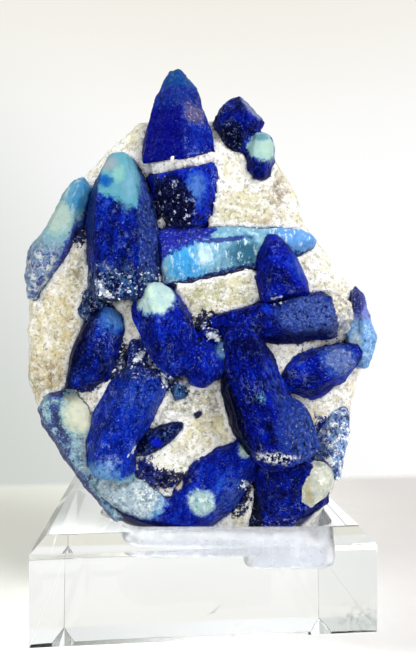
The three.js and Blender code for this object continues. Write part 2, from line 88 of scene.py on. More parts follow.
class Field:
    """A number that varies over a surface. Sums and products of fields are Math nodes."""

    def __init__(self, tree, socket):
        self.tree = tree
        self.socket = socket

    def maths(self, operation, other):
        step = self.tree.nodes.new("ShaderNodeMath")
        step.operation = operation
        self.tree.links.new(self.socket, step.inputs[0])
        if isinstance(other, Field):
            self.tree.links.new(other.socket, step.inputs[1])
        else:
            step.inputs[1].default_value = other
        return Field(self.tree, step.outputs[0])

    def __add__(self, other):
        return self.maths("ADD", other)

    def __sub__(self, other):
        return self.maths("SUBTRACT", other)

    def __mul__(self, other):
        return self.maths("MULTIPLY", other)

    def above(self, low, high):
        """0 below low, 1 above high, and smooth between; low may be the larger of the two."""
        step = self.tree.nodes.new("ShaderNodeMapRange")
        step.interpolation_type = "SMOOTHSTEP"
        self.tree.links.new(self.socket, step.inputs["Value"])
        step.inputs["From Min"].default_value = low
        step.inputs["From Max"].default_value = high
        return Field(self.tree, step.outputs["Result"])

    def without(self, other):
        return self * other.above(1, 0)


STONE_PLACE = Vector((0.4, -27.5, 0))
STONE_TURN = math.radians(-5.1)
STONE_AXES = Matrix.Rotation(STONE_TURN, 3, "Z")


class Finish:
    """A finish built up on one shader: a ground colour, and colours laid over it through masks.
    Its places and sizes are millimetres in the stone's own frame."""

    def __init__(self, name, ground, roughness=0.5, specular=0.2, gloss="FFFFFF"):
        self.material = bpy.data.materials.new(name)
        self.material.use_nodes = True
        self.tree = self.material.node_tree
        self.shader = self.tree.nodes["Principled BSDF"]
        self.shader.inputs["Roughness"].default_value = roughness
        self.shader.inputs["Specular IOR Level"].default_value = specular
        self.shader.inputs["Specular Tint"].default_value = shade(gloss)
        self.shader.inputs["Base Color"].default_value = shade(ground)
        self.colour = None
        self.ground = shade(ground)
        self.height = None
        self.milky = None
        surface = self.tree.nodes.new("ShaderNodeTexCoord").outputs["Object"]
        self.place = self.mapped(surface, turn=(0, 0, -STONE_TURN), scale=(1 / MM,) * 3)
        shift = STONE_AXES.inverted() @ STONE_PLACE
        self.place = self.mapped(self.place, move=-shift)

    def mapped(self, place, move=(0, 0, 0), turn=(0, 0, 0), scale=(1, 1, 1)):
        step = self.tree.nodes.new("ShaderNodeMapping")
        self.tree.links.new(place, step.inputs["Vector"])
        step.inputs["Location"].default_value = move
        step.inputs["Rotation"].default_value = turn
        step.inputs["Scale"].default_value = scale
        return step.outputs["Vector"]

    def along(self, direction, stretch):
        """The place, drawn out along a direction, for patterns that follow a crystal's length."""
        turn = Vector(direction).rotation_difference(Vector((0, 0, 1))).to_euler()
        turned = self.mapped(self.place, turn=turn)
        return self.mapped(turned, scale=(1, 1, 1 / stretch))

    def noise(self, size, place=None, detail=4, roughness=0.6, shift=0.0):
        step = self.tree.nodes.new("ShaderNodeTexNoise")
        self.tree.links.new(self.mapped(place or self.place, move=(shift,) * 3), step.inputs["Vector"])
        step.inputs["Scale"].default_value = 1 / size
        step.inputs["Detail"].default_value = detail
        step.inputs["Roughness"].default_value = roughness
        return Field(self.tree, step.outputs[0])

    def cells(self, size, place=None):
        step = self.tree.nodes.new("ShaderNodeTexVoronoi")
        self.tree.links.new(place or self.place, step.inputs["Vector"])
        step.inputs["Scale"].default_value = 1 / size
        return Field(self.tree, step.outputs["Distance"])

    def grains(self, size):
        """A number that changes from grain to grain, like the tone of sugar crystals."""
        return Field(self.tree, self.cells(size).socket.node.outputs["Color"])

    def attribute(self, name):
        step = self.tree.nodes.new("ShaderNodeAttribute")
        step.attribute_name = name
        return Field(self.tree, step.outputs["Fac"])

    def zone(self, at, radii, turn=0, edge=0.5, ragged=0.45, grain=1.3):
        """1 inside an ellipsoid and 0 outside it, with a ragged edge. turn leans it to the left. The
        distance is read from a ball that fades from 1 in its middle to 0 at five radii."""
        centred = self.mapped(self.place, move=[-value for value in at])
        turned = self.mapped(centred, turn=(0, math.radians(turn), 0))
        shaped = self.mapped(turned, scale=[0.2 / value for value in radii])
        ball = self.tree.nodes.new("ShaderNodeTexGradient")
        ball.gradient_type = "SPHERICAL"
        self.tree.links.new(shaped, ball.inputs[0])
        distance = Field(self.tree, ball.outputs["Fac"]) * -5 + 5
        wander = (self.noise(grain, shift=at[0], detail=7, roughness=0.72) - 0.5) * (2.6 * ragged)
        return (distance + wander).above(1 + edge, 1 - edge)

    def beyond(self, at, towards, edge=0.8, ragged=0.8, grain=1.3):
        """1 on the side of a plane that it faces and 0 behind it. edge and ragged are millimetres."""
        centred = self.mapped(self.place, move=[-value for value in at])
        dot = self.tree.nodes.new("ShaderNodeVectorMath")
        dot.operation = "DOT_PRODUCT"
        self.tree.links.new(centred, dot.inputs[0])
        dot.inputs[1].default_value = Vector(towards).normalized()
        wander = (self.noise(grain, shift=at[2], detail=7, roughness=0.72) - 0.5) * (2.6 * ragged)
        return (Field(self.tree, dot.outputs["Value"]) + wander).above(-edge, edge)

    def crumbled(self, mask, size, amount):
        """A soft mask broken up into crumbs along its edge."""
        return (mask + (self.noise(size, detail=6, roughness=0.7, shift=23) - 0.5) * amount).above(0.42, 0.6)

    def tones(self, field, values, codes):
        """The ground colour taken from a scale of tones: a field's values, and the colour at each."""
        step = self.tree.nodes.new("ShaderNodeValToRGB")
        self.tree.links.new(field.socket, step.inputs[0])
        scale = step.color_ramp.elements
        while len(scale) < len(values):
            scale.new(0.5)
        for mark, value, code in zip(scale, values, codes.split()):
            mark.position = value
            mark.color = shade(code)
        self.colour = step.outputs[0]

    def specks(self, size, share, shift):
        """Small angular specks that cover about a share of the surface."""
        grain = self.noise(size, detail=2.5, roughness=0.55, shift=shift)
        return grain.above(0.72 - 0.6 * share, 0.76 - 0.6 * share)

    def stain(self, mask, codes, grain=0.9, soft=0.13):
        """Lays tones over each other from a soft mask's rim to its middle, each with a crumbly edge."""
        codes = codes.split()
        for i, code in enumerate(codes):
            level = (i + 0.6) / (len(codes) + 0.2)
            wander = (self.noise(0.7, detail=7, roughness=0.75, shift=23 + 5 * i) - 0.5) * grain
            self.paint(code, (mask + wander).above(max(level - soft, 0.12), level + soft))

    def flecks(self, mask, *layers):
        """Paints flecks inside a mask, or everywhere if it is None. Each layer gives its colour, the size of
        its flecks, the values of the noise where they begin and are full, the noise's shift, detail and
        roughness, and a strength if that isn't 1."""
        for code, size, begin, full, shift, detail, roughness, *strength in layers:
            spots = self.noise(size, detail=detail, roughness=roughness, shift=shift).above(begin, full)
            if mask:
                spots = mask * spots
            self.paint(code, spots * strength[0] if strength else spots)

    def paint(self, code, mask, blend="MIX"):
        step = self.tree.nodes.new("ShaderNodeMix")
        step.data_type = "RGBA"
        step.blend_type = blend
        self.tree.links.new(mask.socket, step.inputs[0])
        if self.colour is None:
            step.inputs[6].default_value = self.ground
        else:
            self.tree.links.new(self.colour, step.inputs[6])
        step.inputs[7].default_value = shade(code)
        self.colour = step.outputs[2]

    def not_milky(self, mask):
        """A mask with most of it taken away where the surface is milky."""
        return mask.without(self.milky * 0.85) if self.milky else mask

    def shade_pits_and_light_tops(self, light, highlight):
        """Darkens the pits of all that is painted so far, but for the milky places, as painted shade, and
        lightens its high points, as painted highlights. The same pattern raises the bump."""
        skin = self.noise(0.7, detail=7, roughness=0.75, shift=17)
        self.paint("4A4C58", self.not_milky(skin.above(0.49, 0.37) * 0.6), blend="MULTIPLY")
        self.paint(highlight, skin.above(0.56, 0.7) * light, blend="SCREEN")
        self.raise_by(skin * 1.6)

    def raise_by(self, field):
        self.height = field if self.height is None else self.height + field

    def done(self, bump=0.1, dull=None):
        """Joins the colour, the bump in millimetres and a roughness that varies to the shader."""
        if self.colour is not None:
            self.tree.links.new(self.colour, self.shader.inputs["Base Color"])
        if self.height is not None:
            step = self.tree.nodes.new("ShaderNodeBump")
            step.inputs["Distance"].default_value = bump * MM
            self.tree.links.new(self.height.socket, step.inputs["Height"])
            self.tree.links.new(step.outputs["Normal"], self.shader.inputs["Normal"])
        if dull is not None:
            self.tree.links.new(dull.socket, self.shader.inputs["Roughness"])
        return self.material


SHELF_DEPTH = 81 * MM
SHELF_EDGE = 5 * MM

bpy.ops.mesh.primitive_plane_add(size=2.4, location=(0, 0, -0.1 * MM))
shelf = bpy.context.object
shelf.name = "shelf"
paper = Finish("shelf_paper", "F2F4F2", roughness=0.6, specular=0.1)
paper.paint("CECBCD", paper.beyond((20, 0, 0), (1, 0, 0), edge=50, ragged=20, grain=50))
paper.paint("FFFFFF", paper.beyond((0, -4, 0), (-0.2, -1, 0), edge=6, ragged=3, grain=30))
# Painted shadow: the paper is painted darker at the left, in place of the shadow that the block, left out of
# the shadows, would throw there.
paper.paint("E0E2DE", paper.beyond((-32, 0, 0), (-1, 0, 0), edge=12, ragged=4, grain=40))
paper.raise_by(paper.noise(0.8, detail=2))
paper.done(bump=0.01)
edge = Field(paper.tree, paper.tree.nodes.new("ShaderNodeSeparateXYZ").outputs["Y"])
paper.tree.links.new(paper.tree.nodes["Texture Coordinate"].outputs["Object"],
                     edge.socket.node.inputs["Vector"])
see_through = paper.tree.nodes.new("ShaderNodeBsdfTransparent")
fade = paper.tree.nodes.new("ShaderNodeMixShader")
paper.tree.links.new(edge.above(SHELF_DEPTH - SHELF_EDGE, SHELF_DEPTH + SHELF_EDGE).socket, fade.inputs[0])
paper.tree.links.new(paper.shader.outputs[0], fade.inputs[1])
paper.tree.links.new(see_through.outputs[0], fade.inputs[2])
paper.tree.links.new(fade.outputs[0], paper.tree.nodes["Material Output"].inputs["Surface"])
shelf.data.materials.append(paper.material)

world = bpy.data.worlds.new("studio")
bpy.context.scene.world = world
world.use_nodes = True
studio = world.node_tree
direction = studio.nodes.new("ShaderNodeTexCoord").outputs["Generated"]
parts = studio.nodes.new("ShaderNodeSeparateXYZ")
studio.links.new(direction, parts.inputs[0])
rightwards = Field(studio, parts.outputs["X"])
upwards = Field(studio, parts.outputs["Z"])
wall = studio.nodes.new("ShaderNodeMix")
wall.data_type = "RGBA"
wall.inputs[6].default_value = shade("CDD2CC")
wall.inputs[7].default_value = shade("FFFFFF")
studio.links.new((rightwards + upwards * 0.7).above(-0.5, 0.25).socket, wall.inputs[0])
ceiling = studio.nodes.new("ShaderNodeMix")
ceiling.data_type = "RGBA"
ceiling.inputs[7].default_value = shade("EFECE0")
studio.links.new(upwards.above(0.25, 0.6).socket, ceiling.inputs[0])
studio.links.new(wall.outputs[2], ceiling.inputs[6])
studio.links.new(ceiling.outputs[2], studio.nodes["Background"].inputs["Color"])
towards_back = Field(studio, parts.outputs["Y"])
strength = towards_back.above(-0.35, 0.3) * 0.42 + 0.58
studio.links.new(strength.socket, studio.nodes["Background"].inputs["Strength"])


def lamp(name, place, target, size, power):
    light = bpy.data.objects.new(name, bpy.data.lights.new(name, "AREA"))
    bpy.context.scene.collection.objects.link(light)
    light.location = place
    light.rotation_euler = (Vector(target) - Vector(place)).to_track_quat("-Z", "Y").to_euler()
    light.data.size = size
    light.data.energy = power


lamp("key", (0.42, -0.55, 0.6), (0, -0.02, 0.06), 0.3, 7)
lamp("fill", (-0.6, -0.5, 0.35), (0, -0.02, 0.05), 0.4, 2.6)

# ---- Acrylic block -------------------------------------------------
# A square of cast acrylic, bevelled and polished, with a frosted pocket milled in its top for the stone. It
# is so clear that it throws no shadow to speak of. Its front has a few fine scratches and a dusty smudge.

BLOCK_TOP = 19.05
BLOCK_SIDE = 63.5 * MM
BLOCK_HEIGHT = BLOCK_TOP * MM
BLOCK_BEVEL = 2.6 * MM
EDGE_WEAR = 0.12 * MM
POCKET_FRONT = 0.2
POCKET_BACK = 17.5
CUTTER_TOP = 30
ACRYLIC_IOR = 1.49


def apply_modifier(piece, kind, **settings):
    modifier = piece.modifiers.new(kind.lower(), kind)
    for name, value in settings.items():
        setattr(modifier, name, value)
    bpy.context.view_layer.objects.active = piece
    bpy.ops.object.modifier_apply(modifier=modifier.name)


def settle(piece):
    """Puts a piece's place, turn and scale into its mesh."""
    bpy.context.view_layer.update()
    piece.data.transform(piece.matrix_world)
    piece.matrix_world = Matrix.Identity(4)


def select_edges(piece, test):
    """Selects, in edit mode, the edges that pass a test of their two ends."""
    bpy.ops.object.mode_set(mode="EDIT")
    bpy.ops.mesh.select_mode(type="EDGE")
    bpy.ops.mesh.select_all(action="DESELECT")
    bpy.ops.object.mode_set(mode="OBJECT")
    for line in piece.data.edges:
        line.select = test(*(piece.data.vertices[i].co for i in line.vertices))
    bpy.ops.object.mode_set(mode="EDIT")


def box_piece(name, low, high):
    bpy.ops.mesh.primitive_cube_add(size=1)
    piece = bpy.context.object
    piece.name = name
    piece.scale = [b - a for a, b in zip(low, high)]
    piece.location = [(a + b) / 2 for a, b in zip(low, high)]
    settle(piece)
    return piece


half = BLOCK_SIDE / 2
block = box_piece("clear_block", (-half, -half, 0), (half, half, BLOCK_HEIGHT))
select_edges(block, lambda a, b: min(a.z, b.z) > BLOCK_HEIGHT - 0.001 * MM)
bpy.ops.mesh.bevel(offset=BLOCK_BEVEL, segments=1, affect="EDGES")
bpy.ops.object.mode_set(mode="OBJECT")
apply_modifier(block, "BEVEL", width=EDGE_WEAR, segments=2, limit_method="ANGLE", harden_normals=False)


def pocket_cutter(name, left, right, depth, corner, floor_round, inset=0.0):
    """The path of a round-nosed cutter: a box with round corners and a rounded floor."""
    floor = BLOCK_TOP - depth
    low = (left, POCKET_FRONT + inset, floor)
    high = (right, POCKET_BACK - inset, CUTTER_TOP + inset)
    cutter = box_piece(name, low, high)
    select_edges(cutter, lambda a, b: abs(a.z - b.z) > 1)
    bpy.ops.mesh.bevel(offset=corner, segments=10, affect="EDGES")
    bpy.ops.object.mode_set(mode="OBJECT")
    select_edges(cutter, lambda a, b: max(a.z, b.z) < floor + 0.01)
    bpy.ops.mesh.bevel(offset=floor_round, segments=6, affect="EDGES")
    bpy.ops.object.mode_set(mode="OBJECT")
    return cutter


bpy.ops.mesh.primitive_uv_sphere_add(segments=64, ring_count=32, radius=1, location=(-9.5, 10.1, BLOCK_TOP))
scoop = bpy.context.object
scoop.scale = (12.6, 8.2, 7.5)
settle(scoop)
cutters = [
    pocket_cutter("trough", -17, 20, 5.5, 5, 1.6),
    pocket_cutter("deep_pocket", 6.5, 24.2, 7.8, 4, 1.2, inset=0.1),
    scoop,
]
for cutter in cutters:
    cutter.data.transform(Matrix.Translation(STONE_PLACE * MM) @ STONE_AXES.to_4x4() @ Matrix.Scale(MM, 4))
    apply_modifier(block, "BOOLEAN", operation="DIFFERENCE", solver="EXACT", object=cutter)
    bpy.data.objects.remove(cutter)

polished = Finish("polished_acrylic", "FAFCFD", roughness=0.02, specular=0.5)
frosted = Finish("milled_acrylic", "CACDD7", roughness=0.3, specular=0.5)
for finish, clearness in ((polished, 1), (frosted, 0.5)):
    finish.shader.inputs["Transmission Weight"].default_value = clearness
    finish.shader.inputs["IOR"].default_value = ACRYLIC_IOR
scuffs = polished.noise(9, place=polished.along((1, 0, 0.35), 6), detail=5)
scratches = polished.noise(1.6, place=polished.along((1, 0, 0.5), 9), detail=6, roughness=0.7)
scratched = polished.zone((1, -4, 3.4), (6, 8, 3.4), turn=-30, edge=0.8, ragged=0.6)
scratches = scratches.above(0.6, 0.64) * scratched
smudge = polished.zone((28, -6, 3), (3.6, 8, 2.2), edge=0.8, ragged=0.9)
smudge = smudge * polished.noise(0.9, detail=6).above(0.44, 0.6)
polished.paint("9CA0A0", scratches * 0.8)
polished.paint("8E9290", smudge * 0.8)
polished.raise_by(polished.noise(14, detail=2) + scuffs.above(0.66, 0.7) * 0.05 + scratches * 0.6)
polished.done(bump=0.02, dull=scuffs.above(0.6, 0.72) * 0.12 + smudge * 0.3 + 0.01)
tooling = frosted.cells(1.5, place=frosted.along((1, 0, 0), 3))
frosted.paint("DCDFE8", frosted.noise(3).above(0.4, 0.7))
frosted.raise_by(tooling + frosted.noise(0.6))
frosted.done(bump=0.02, dull=frosted.noise(2.5).above(0.3, 0.8) * 0.25 + 0.2)
block.data.materials.append(polished.material)
block.data.materials.append(frosted.material)
for face in block.data.polygons:
    edge_distance = half - max(abs(face.center.x), abs(face.center.y))
    below_bevel = BLOCK_HEIGHT - face.center.z > 0.02 * MM + max(0, BLOCK_BEVEL - edge_distance)
    in_pocket = edge_distance > 0.2 * MM and face.center.z > 1 * MM and below_bevel
    face.material_index = 1 if in_pocket else 0
    face.use_smooth = in_pocket
block.visible_shadow = False
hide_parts("acrylic_block")
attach(block, "root")

# ---- Crystals ------------------------------------------------------
# The afghanite crystals are six-sided prisms with blunt tips, etched and pitted all over. They are as
# they came out of the rock: trimmed free of the marble with a fine pneumatic point, and not polished.

HASH_STEPS = (73856093, 19349663, 83492791)
CRYSTAL_RELAX = 5
SEAM_OVERLAP = 0.06
FOOT_KEPT = 19.4
FOOT_FREE = 21.5


def points_of(piece, kind="co"):
    values = np.empty(len(piece.data.vertices) * 3)
    piece.data.vertices.foreach_get(kind, values)
    return values.reshape(-1, 3)


def move_points(piece, points):
    piece.data.vertices.foreach_set("co", points.ravel())
    piece.data.update()


def smooth_step(values, low, high):
    share = np.clip((values - low) / (high - low), 0, 1)
    return share * share * (3 - 2 * share)


def in_stone(points):
    """Points of the row frame in metres, in the stone's own frame in millimetres."""
    return (points / MM - np.array(STONE_PLACE)) @ np.array(STONE_AXES)


def lumps(points, size, seed):
    """Smooth lumps from -1 to 1, each about size across. Every seed gives other lumps."""
    cell = points @ np.array(Matrix.Rotation(seed, 3, (0.5, 0.6, 0.62))) / size + 31.7 * seed
    corner = np.floor(cell).astype(np.int64)
    part = cell - corner
    part = part * part * (3 - 2 * part)
    total = np.zeros(len(points))
    for offset in itertools.product((0, 1), repeat=3):
        key = ((corner + offset) * HASH_STEPS).sum(1) & 0xFFFFFFFF
        key = ((key ^ (key >> 15)) * 2246822519) & 0xFFFFFFFF
        key = ((key ^ (key >> 13)) * 3266489917) & 0xFFFFFFFF
        weight = np.prod(np.where(offset, part, 1 - part), axis=1)
        total += weight * ((key ^ (key >> 16)) & 0xFFFF) / 0xFFFF
    return total * 2 - 1


def drawn_out(points, direction, stretch):
    """Points squeezed along a direction, so that lumps taken from them are longer that way."""
    axis = np.array(Vector(direction).normalized())
    return points - np.outer(points @ axis, axis) * (1 - 1 / stretch)


def fine_copy(node, name, voxel, relax):
    """A copy of a solid with a fine even skin and worn edges."""
    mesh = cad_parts[node].data.copy()
    piece = bpy.data.objects.new(name, mesh)
    bpy.context.scene.collection.objects.link(piece)
    mesh.materials.clear()
    bpy.context.view_layer.objects.active = piece
    bpy.ops.object.mode_set(mode="EDIT")
    bpy.ops.mesh.select_all(action="SELECT")
    bpy.ops.mesh.remove_doubles(threshold=0.001 * MM)
    bpy.ops.object.mode_set(mode="OBJECT")
    apply_modifier(piece, "REMESH", mode="VOXEL", voxel_size=voxel * MM, use_smooth_shade=True)
    apply_modifier(piece, "SMOOTH", factor=0.5, iterations=relax)
    return piece


def skin_tree(pieces):
    corners, faces = [], []
    for piece in pieces:
        first = len(corners)
        corners.extend(Vector(co) for co in points_of(piece))
        faces.extend([first + i for i in face.vertices] for face in piece.data.polygons)
    return BVHTree.FromPolygons(corners, faces)


def nestle(piece, neighbours, reach=1.1):
    """Draws a piece's skin up to its neighbours', where it is within reach, so that no gap shows."""
    tree = skin_tree(neighbours)
    points = points_of(piece)
    for i, point in enumerate(points):
        spot, normal, _, distance = tree.find_nearest(Vector(point), reach * MM)
        if spot is not None:
            pull = 1 - smooth_step(distance / MM / reach, 0.42, 1)
            points[i] = point + (np.array(spot - normal * SEAM_OVERLAP * MM) - point) * pull
    move_points(piece, points)


def keep(piece, before, points):
    """Leaves the foot in the pocket as the solid has it, and everything inside the solids' box."""
    free = smooth_step(before[:, 2] / MM, FOOT_KEPT, FOOT_FREE)[:, None]
    points = before + (points - before) * free
    low, high = (np.array(corner) for corner in cad_box)
    move_points(piece, np.clip(points, low + 0.01 * MM, high - 0.01 * MM))


def facing_front(*pieces):
    """How squarely the pieces' skins face the front, point by point: 1 straight on and -1 at the back."""
    normals = np.concatenate([points_of(piece, "normal") for piece in pieces])
    return -(normals @ np.array(STONE_AXES))[:, 1]


def save_attribute(piece, name, values):
    layer = piece.data.attributes.new(name, "FLOAT", "POINT")
    layer.data.foreach_set("value", values.astype(np.float32))


crystals = []


def grow(node, seed, ribs, name=None, along=(0, 0, 1), pits=0.12, voxel=0.3):
    """One crystal, or crystals grown through each other: worn prism edges, ribs along it, etch pits and
    the low steps that a growing face leaves. Its name is its node's, without the word for crystal."""
    name = name or node.removesuffix("s").removesuffix("_crystal")
    piece = fine_copy(node, name, voxel, CRYSTAL_RELAX)
    before = points_of(piece)
    if crystals:
        nestle(piece, crystals)
    points = points_of(piece)
    stone = in_stone(points)
    long = drawn_out(stone, along, 6)
    height = 0.18 * lumps(stone, 3.4, seed) + 0.1 * lumps(stone, 1.7, seed + 1)
    height += 0.08 * lumps(stone, 0.85, seed + 2)
    step = 2.5 * lumps(stone, 3.1, seed + 7) + 0.8 * lumps(stone, 1.1, seed + 8)
    height += 0.1 * (np.floor(step) + smooth_step(step - np.floor(step), 0.8, 1))
    height -= pits * smooth_step(lumps(stone, 1.2, seed + 3), 0.2, 0.7)
    height += ribs * (lumps(long, 0.9, seed + 4) + 1.2 * lumps(long, 1.9, seed + 6))
    height -= 3 * ribs * (1 - smooth_step(np.abs(lumps(long, 2.6, seed + 5)), 0, 0.14))
    points = points + points_of(piece, "normal") * (height * MM)[:, None]
    keep(piece, before, points)
    crystals.append(piece)
    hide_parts(node)
    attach(piece, "root")


def afghanite(name, tones, along=(0, 0, 1), frost="3450AC", frosting=0.5, darkness=0.6, veins_and_glints=0.6):
    """The blue that the crystals share: five tones from night to royal in broken patches, dark ribs and
    pits, a broken veil of frost, fine pale veins and small white glints. Its gloss is blue too."""
    night, _, middle, *_ = tones.split()
    finish = Finish(name, middle, roughness=0.36, specular=0.06, gloss="2036A0")
    long = finish.along(along, 3)
    patches = finish.noise(2.6, place=finish.along(along, 1.6), detail=9, roughness=0.82)
    finish.tones(patches, (0.34, 0.43, 0.5, 0.56, 0.66), tones)
    pits = finish.noise(1.1, place=long, detail=6, roughness=0.75, shift=9).above(0.46, 0.36)
    finish.paint(night, pits * darkness)
    veil = finish.noise(3.6, shift=4, detail=4).above(0.5, 0.64)
    finish.paint(frost, finish.noise(0.5, place=long, detail=6, roughness=0.85, shift=7).above(0.53, 0.66)
                 * veil * frosting)
    vein = (finish.noise(2.1, place=finish.along(along, 1.4), detail=6, roughness=0.7, shift=12) - 0.5)
    finish.paint("7C90CC", vein.maths("ABSOLUTE", 0).above(0.016, 0.004) * veil * veins_and_glints)
    # Painted highlights: small white glints, in patches.
    finish.paint("A9B8E0", finish.specks(0.24, 0.1, shift=2) * finish.noise(2.2, shift=3).above(0.44, 0.6)
                 * veins_and_glints)
    return finish


def edge_with_marble(finish):
    """The dark line of painted shade in the crevice where a crystal goes into the marble, set with white
    crumbs, and white crusts.
    """
    seam = finish.attribute("seam") + (finish.noise(0.8, shift=11, detail=7, roughness=0.7) - 0.5) * 0.9
    # Painted shade: a dark line along the crevice where the crystal meets the marble.
    finish.paint("020318", seam.above(0.6, 0.9) * 0.8)
    finish.paint("A9B4D0", seam.above(0.5, 0.7) * finish.noise(0.5, detail=6, roughness=0.75, shift=13)
                 .above(0.56, 0.64) * 0.8)
    crust = finish.attribute("crust") + (finish.noise(0.8, detail=8, roughness=0.8, shift=19) - 0.5) * 2
    finish.paint("04061E", crust.above(0.3, 0.5) * 0.7)
    finish.paint("A4AEC4", crust.above(0.52, 0.6))
    finish.paint("DDE0E4", crust.above(0.66, 0.74))


def dress(finish, bump=0.16, light=0.3, flecks=0.35, pale="5C74C4", deep="01021C"):
    """Mottles and flecks a finish all over, but for its milky places, and puts it on the newest crystal."""
    mottle = finish.noise(1.6, detail=9, roughness=0.8, shift=51)
    fine = finish.noise(0.45, detail=5, roughness=0.8, shift=61)
    finish.paint(deep, finish.not_milky(mottle.above(0.47, 0.37) * 0.45))
    finish.paint(pale, finish.not_milky(fine.above(0.55, 0.66) * flecks))
    finish.paint(deep, finish.not_milky(fine.above(0.45, 0.34) * flecks))
    edge_with_marble(finish)
    # Painted shade in the pits and painted highlights on the high points.
    finish.shade_pits_and_light_tops(light, highlight="2040C0")
    crystals[-1].data.materials.append(finish.done(bump=bump))


# -- Crossed pair: the great prism and the lying prism that it grew through. The great prism is split and
# ribbed along its length; the lying one is worn grey on its right part and ends against cream calcite.

GREAT_AXIS = (-9.6, 0, 26.8)
grow("crossed_pair_crystals", along=GREAT_AXIS, seed=3, ribs=0.11, pits=0.1)
blue = afghanite("great_prism_blue", "01021C 020644 020A70 041492 0E34B0", along=GREAT_AXIS, frosting=0.5)
cracks = blue.noise(2.4, place=blue.along(GREAT_AXIS, 7), detail=3, shift=3)
blue.paint("01021E", (cracks - 0.5).maths("ABSOLUTE", 0).above(0.035, 0.0) * 0.85)
blue.stain(blue.zone((3.4, -3, 43), (1.8, 6, 11), turn=20), "020328 01021A", grain=0.6)
streaks = blue.noise(0.6, place=blue.along(GREAT_AXIS, 4), detail=7, roughness=0.75, shift=28)
blue.paint("2C4484", blue.zone((12.6, -3, 45), (1.6, 6, 9), turn=20, edge=0.6) * streaks.above(0.5, 0.6))
foot = blue.zone((17, -4, 36.6), (4.2, 6, 6.6), turn=16, ragged=0.6)
blue.stain(foot, "0E2884 1C3684", grain=1.4)
blue.flecks(foot, ("4A5C9C", 0.6, 0.5, 0.6, 18, 7, 0.75), ("04061E", 0.9, 0.52, 0.58, 8, 7, 0.7, 0.9),
            ("B8BCD8", 0.6, 0.62, 0.68, 2, 5, 0.6))
blue.flecks(blue.zone((9.5, -6.9, 44.2), (0.7, 2, 0.9), ragged=0.5, grain=0.7),
            ("5890B8", 0.4, 0.4, 0.6, 38, 3, 0.6))
worn = blue.zone((19.6, -3, 58.8), (6.6, 7, 3.7), turn=-4, edge=0.3, ragged=0.5)
blue.stain(worn, "162C80 2A4088", grain=1.2)
blue.flecks(worn, ("6274AC", 0.5, 0.49, 0.6, 1, 7, 0.8, 0.9), ("060E48", 0.9, 0.52, 0.58, 5, 7, 0.75, 0.95))
blue.paint("020330", blue.beyond((18, -3, 55.9), (0.1, 0, -1), edge=0.4).without(foot) * blue.beyond(
    (14, -3, 50), (0.3, 0, 1), edge=1, ragged=0.5) * 0.8)
cream = blue.beyond((23.7, -2, 59), (1, 0, 0.26), edge=0.2)
blue.paint("ACA9A3", cream)
blue.flecks(cream, ("D9D4BE", 0.9, 0.47, 0.56, 6, 6, 0.6), ("7B7E8C", 0.6, 0.56, 0.64, 16, 6, 0.6, 0.8))
blue.flecks(blue.zone((25.6, -3, 57), (2.4, 6, 2), edge=0.8, ragged=0.9),
            ("7484B0", 0.8, 0.45, 0.55, 36, 7, 0.75, 0.8))
rift = blue.zone((12.1, -6, 33.4), (3.2, 3, 1), ragged=0.9, grain=0.8)
blue.paint("05072C", rift)
blue.flecks(rift, ("D6DAE4", 0.8, 0.48, 0.53, 46, 7, 0.7))
dress(blue, flecks=0.3)

# -- Centre cluster: the crystal with the mint cap and the round crystals that grew through its foot.

CAP_AXIS = (-4.8, 0, 18.2)
grow("centre_cluster_crystals", along=CAP_AXIS, seed=11, ribs=0.03)
blue = afghanite("mint_cap_blue", "020322 030A52 041280 061EA4 1A50C4", along=CAP_AXIS,
                 frosting=0.7, veins_and_glints=0.8)
blue.flecks(blue.zone((-6.8, -3, 52.6), (2.6, 5, 3.6), turn=14, edge=0.9, ragged=0.9),
            ("010230", 1.1, 0.42, 0.56, 56, 7, 0.75, 0.8))
blue.stain(blue.zone((3.0, -3, 52.6), (1.5, 5, 1.9)), "1E4498 3B62A8 6688B4", grain=0.8)
mint = blue.zone((-9.6, -4.6, 62.4), (3.7, 6, 3.2), turn=24, edge=0.25, ragged=0.4)
blue.stain(mint, "2F5CA4 8AA8C0 A3BFBF", grain=0.4, soft=0.2)
blue.flecks(mint, ("B7D2C6", 1.9, 0.42, 0.62, 8, 3, 0.6, 0.9))
crumbly = blue.zone((0.4, -2, 58), (4.2, 4, 1.9), edge=0.4, ragged=0.7, grain=1)
blue.paint("090C2E", crumbly)
blue.flecks(crumbly, ("98A0B4", 0.8, 0.56, 0.62, 21, 6, 0.7))
blue.milky = mint
dress(blue)

# -- Left prism: the big upright crystal with a pale teal cap, its right face frosted, and the dark stub
# at its foot, crusted with a little calcite.

grow("left_prism_crystal", seed=21, ribs=0.04, pits=0.14)
blue = afghanite("left_prism_blue", "01021A 010844 02106E 041C90 1848AC", frosting=0.6)
right_face = blue.beyond((-13.1, -3, 78), (1, 0.3, 0.02), edge=0.4)
blue.paint("1C2E78", right_face * 0.8)
blue.flecks(right_face, ("4A62A0", 0.6, 0.5, 0.6, 3, 6, 0.75), ("020538", 1.2, 0.54, 0.62, 6, 6, 0.6, 0.9),
            ("9AA8CC", 0.5, 0.62, 0.68, 16, 6, 0.6))
cap = blue.beyond((-16.6, -4, 80.2), (0.4, 0, 1), edge=0.9, ragged=2.0, grain=1.1).without(right_face)
blue.milky = cap
blue.stain(cap, "2A5C98 4C8CA4 5894A6", grain=0.4, soft=0.2)
blue.stain(blue.zone((-14.6, -3, 83.6), (1.6, 6, 4.4), edge=0.9), "5894A6 6C9CB4", grain=0.3, soft=0.35)
blue.stain(blue.zone((-16.6, -3, 85.2), (1.7, 6, 2.2), edge=0.9), "5894A6 7CB0AC", grain=0.3, soft=0.35)
blue.stain(blue.zone((-18.8, -3, 87.2), (2, 6, 1.4), edge=0.9), "7A98A4 8C9BA3", grain=0.3, soft=0.35)
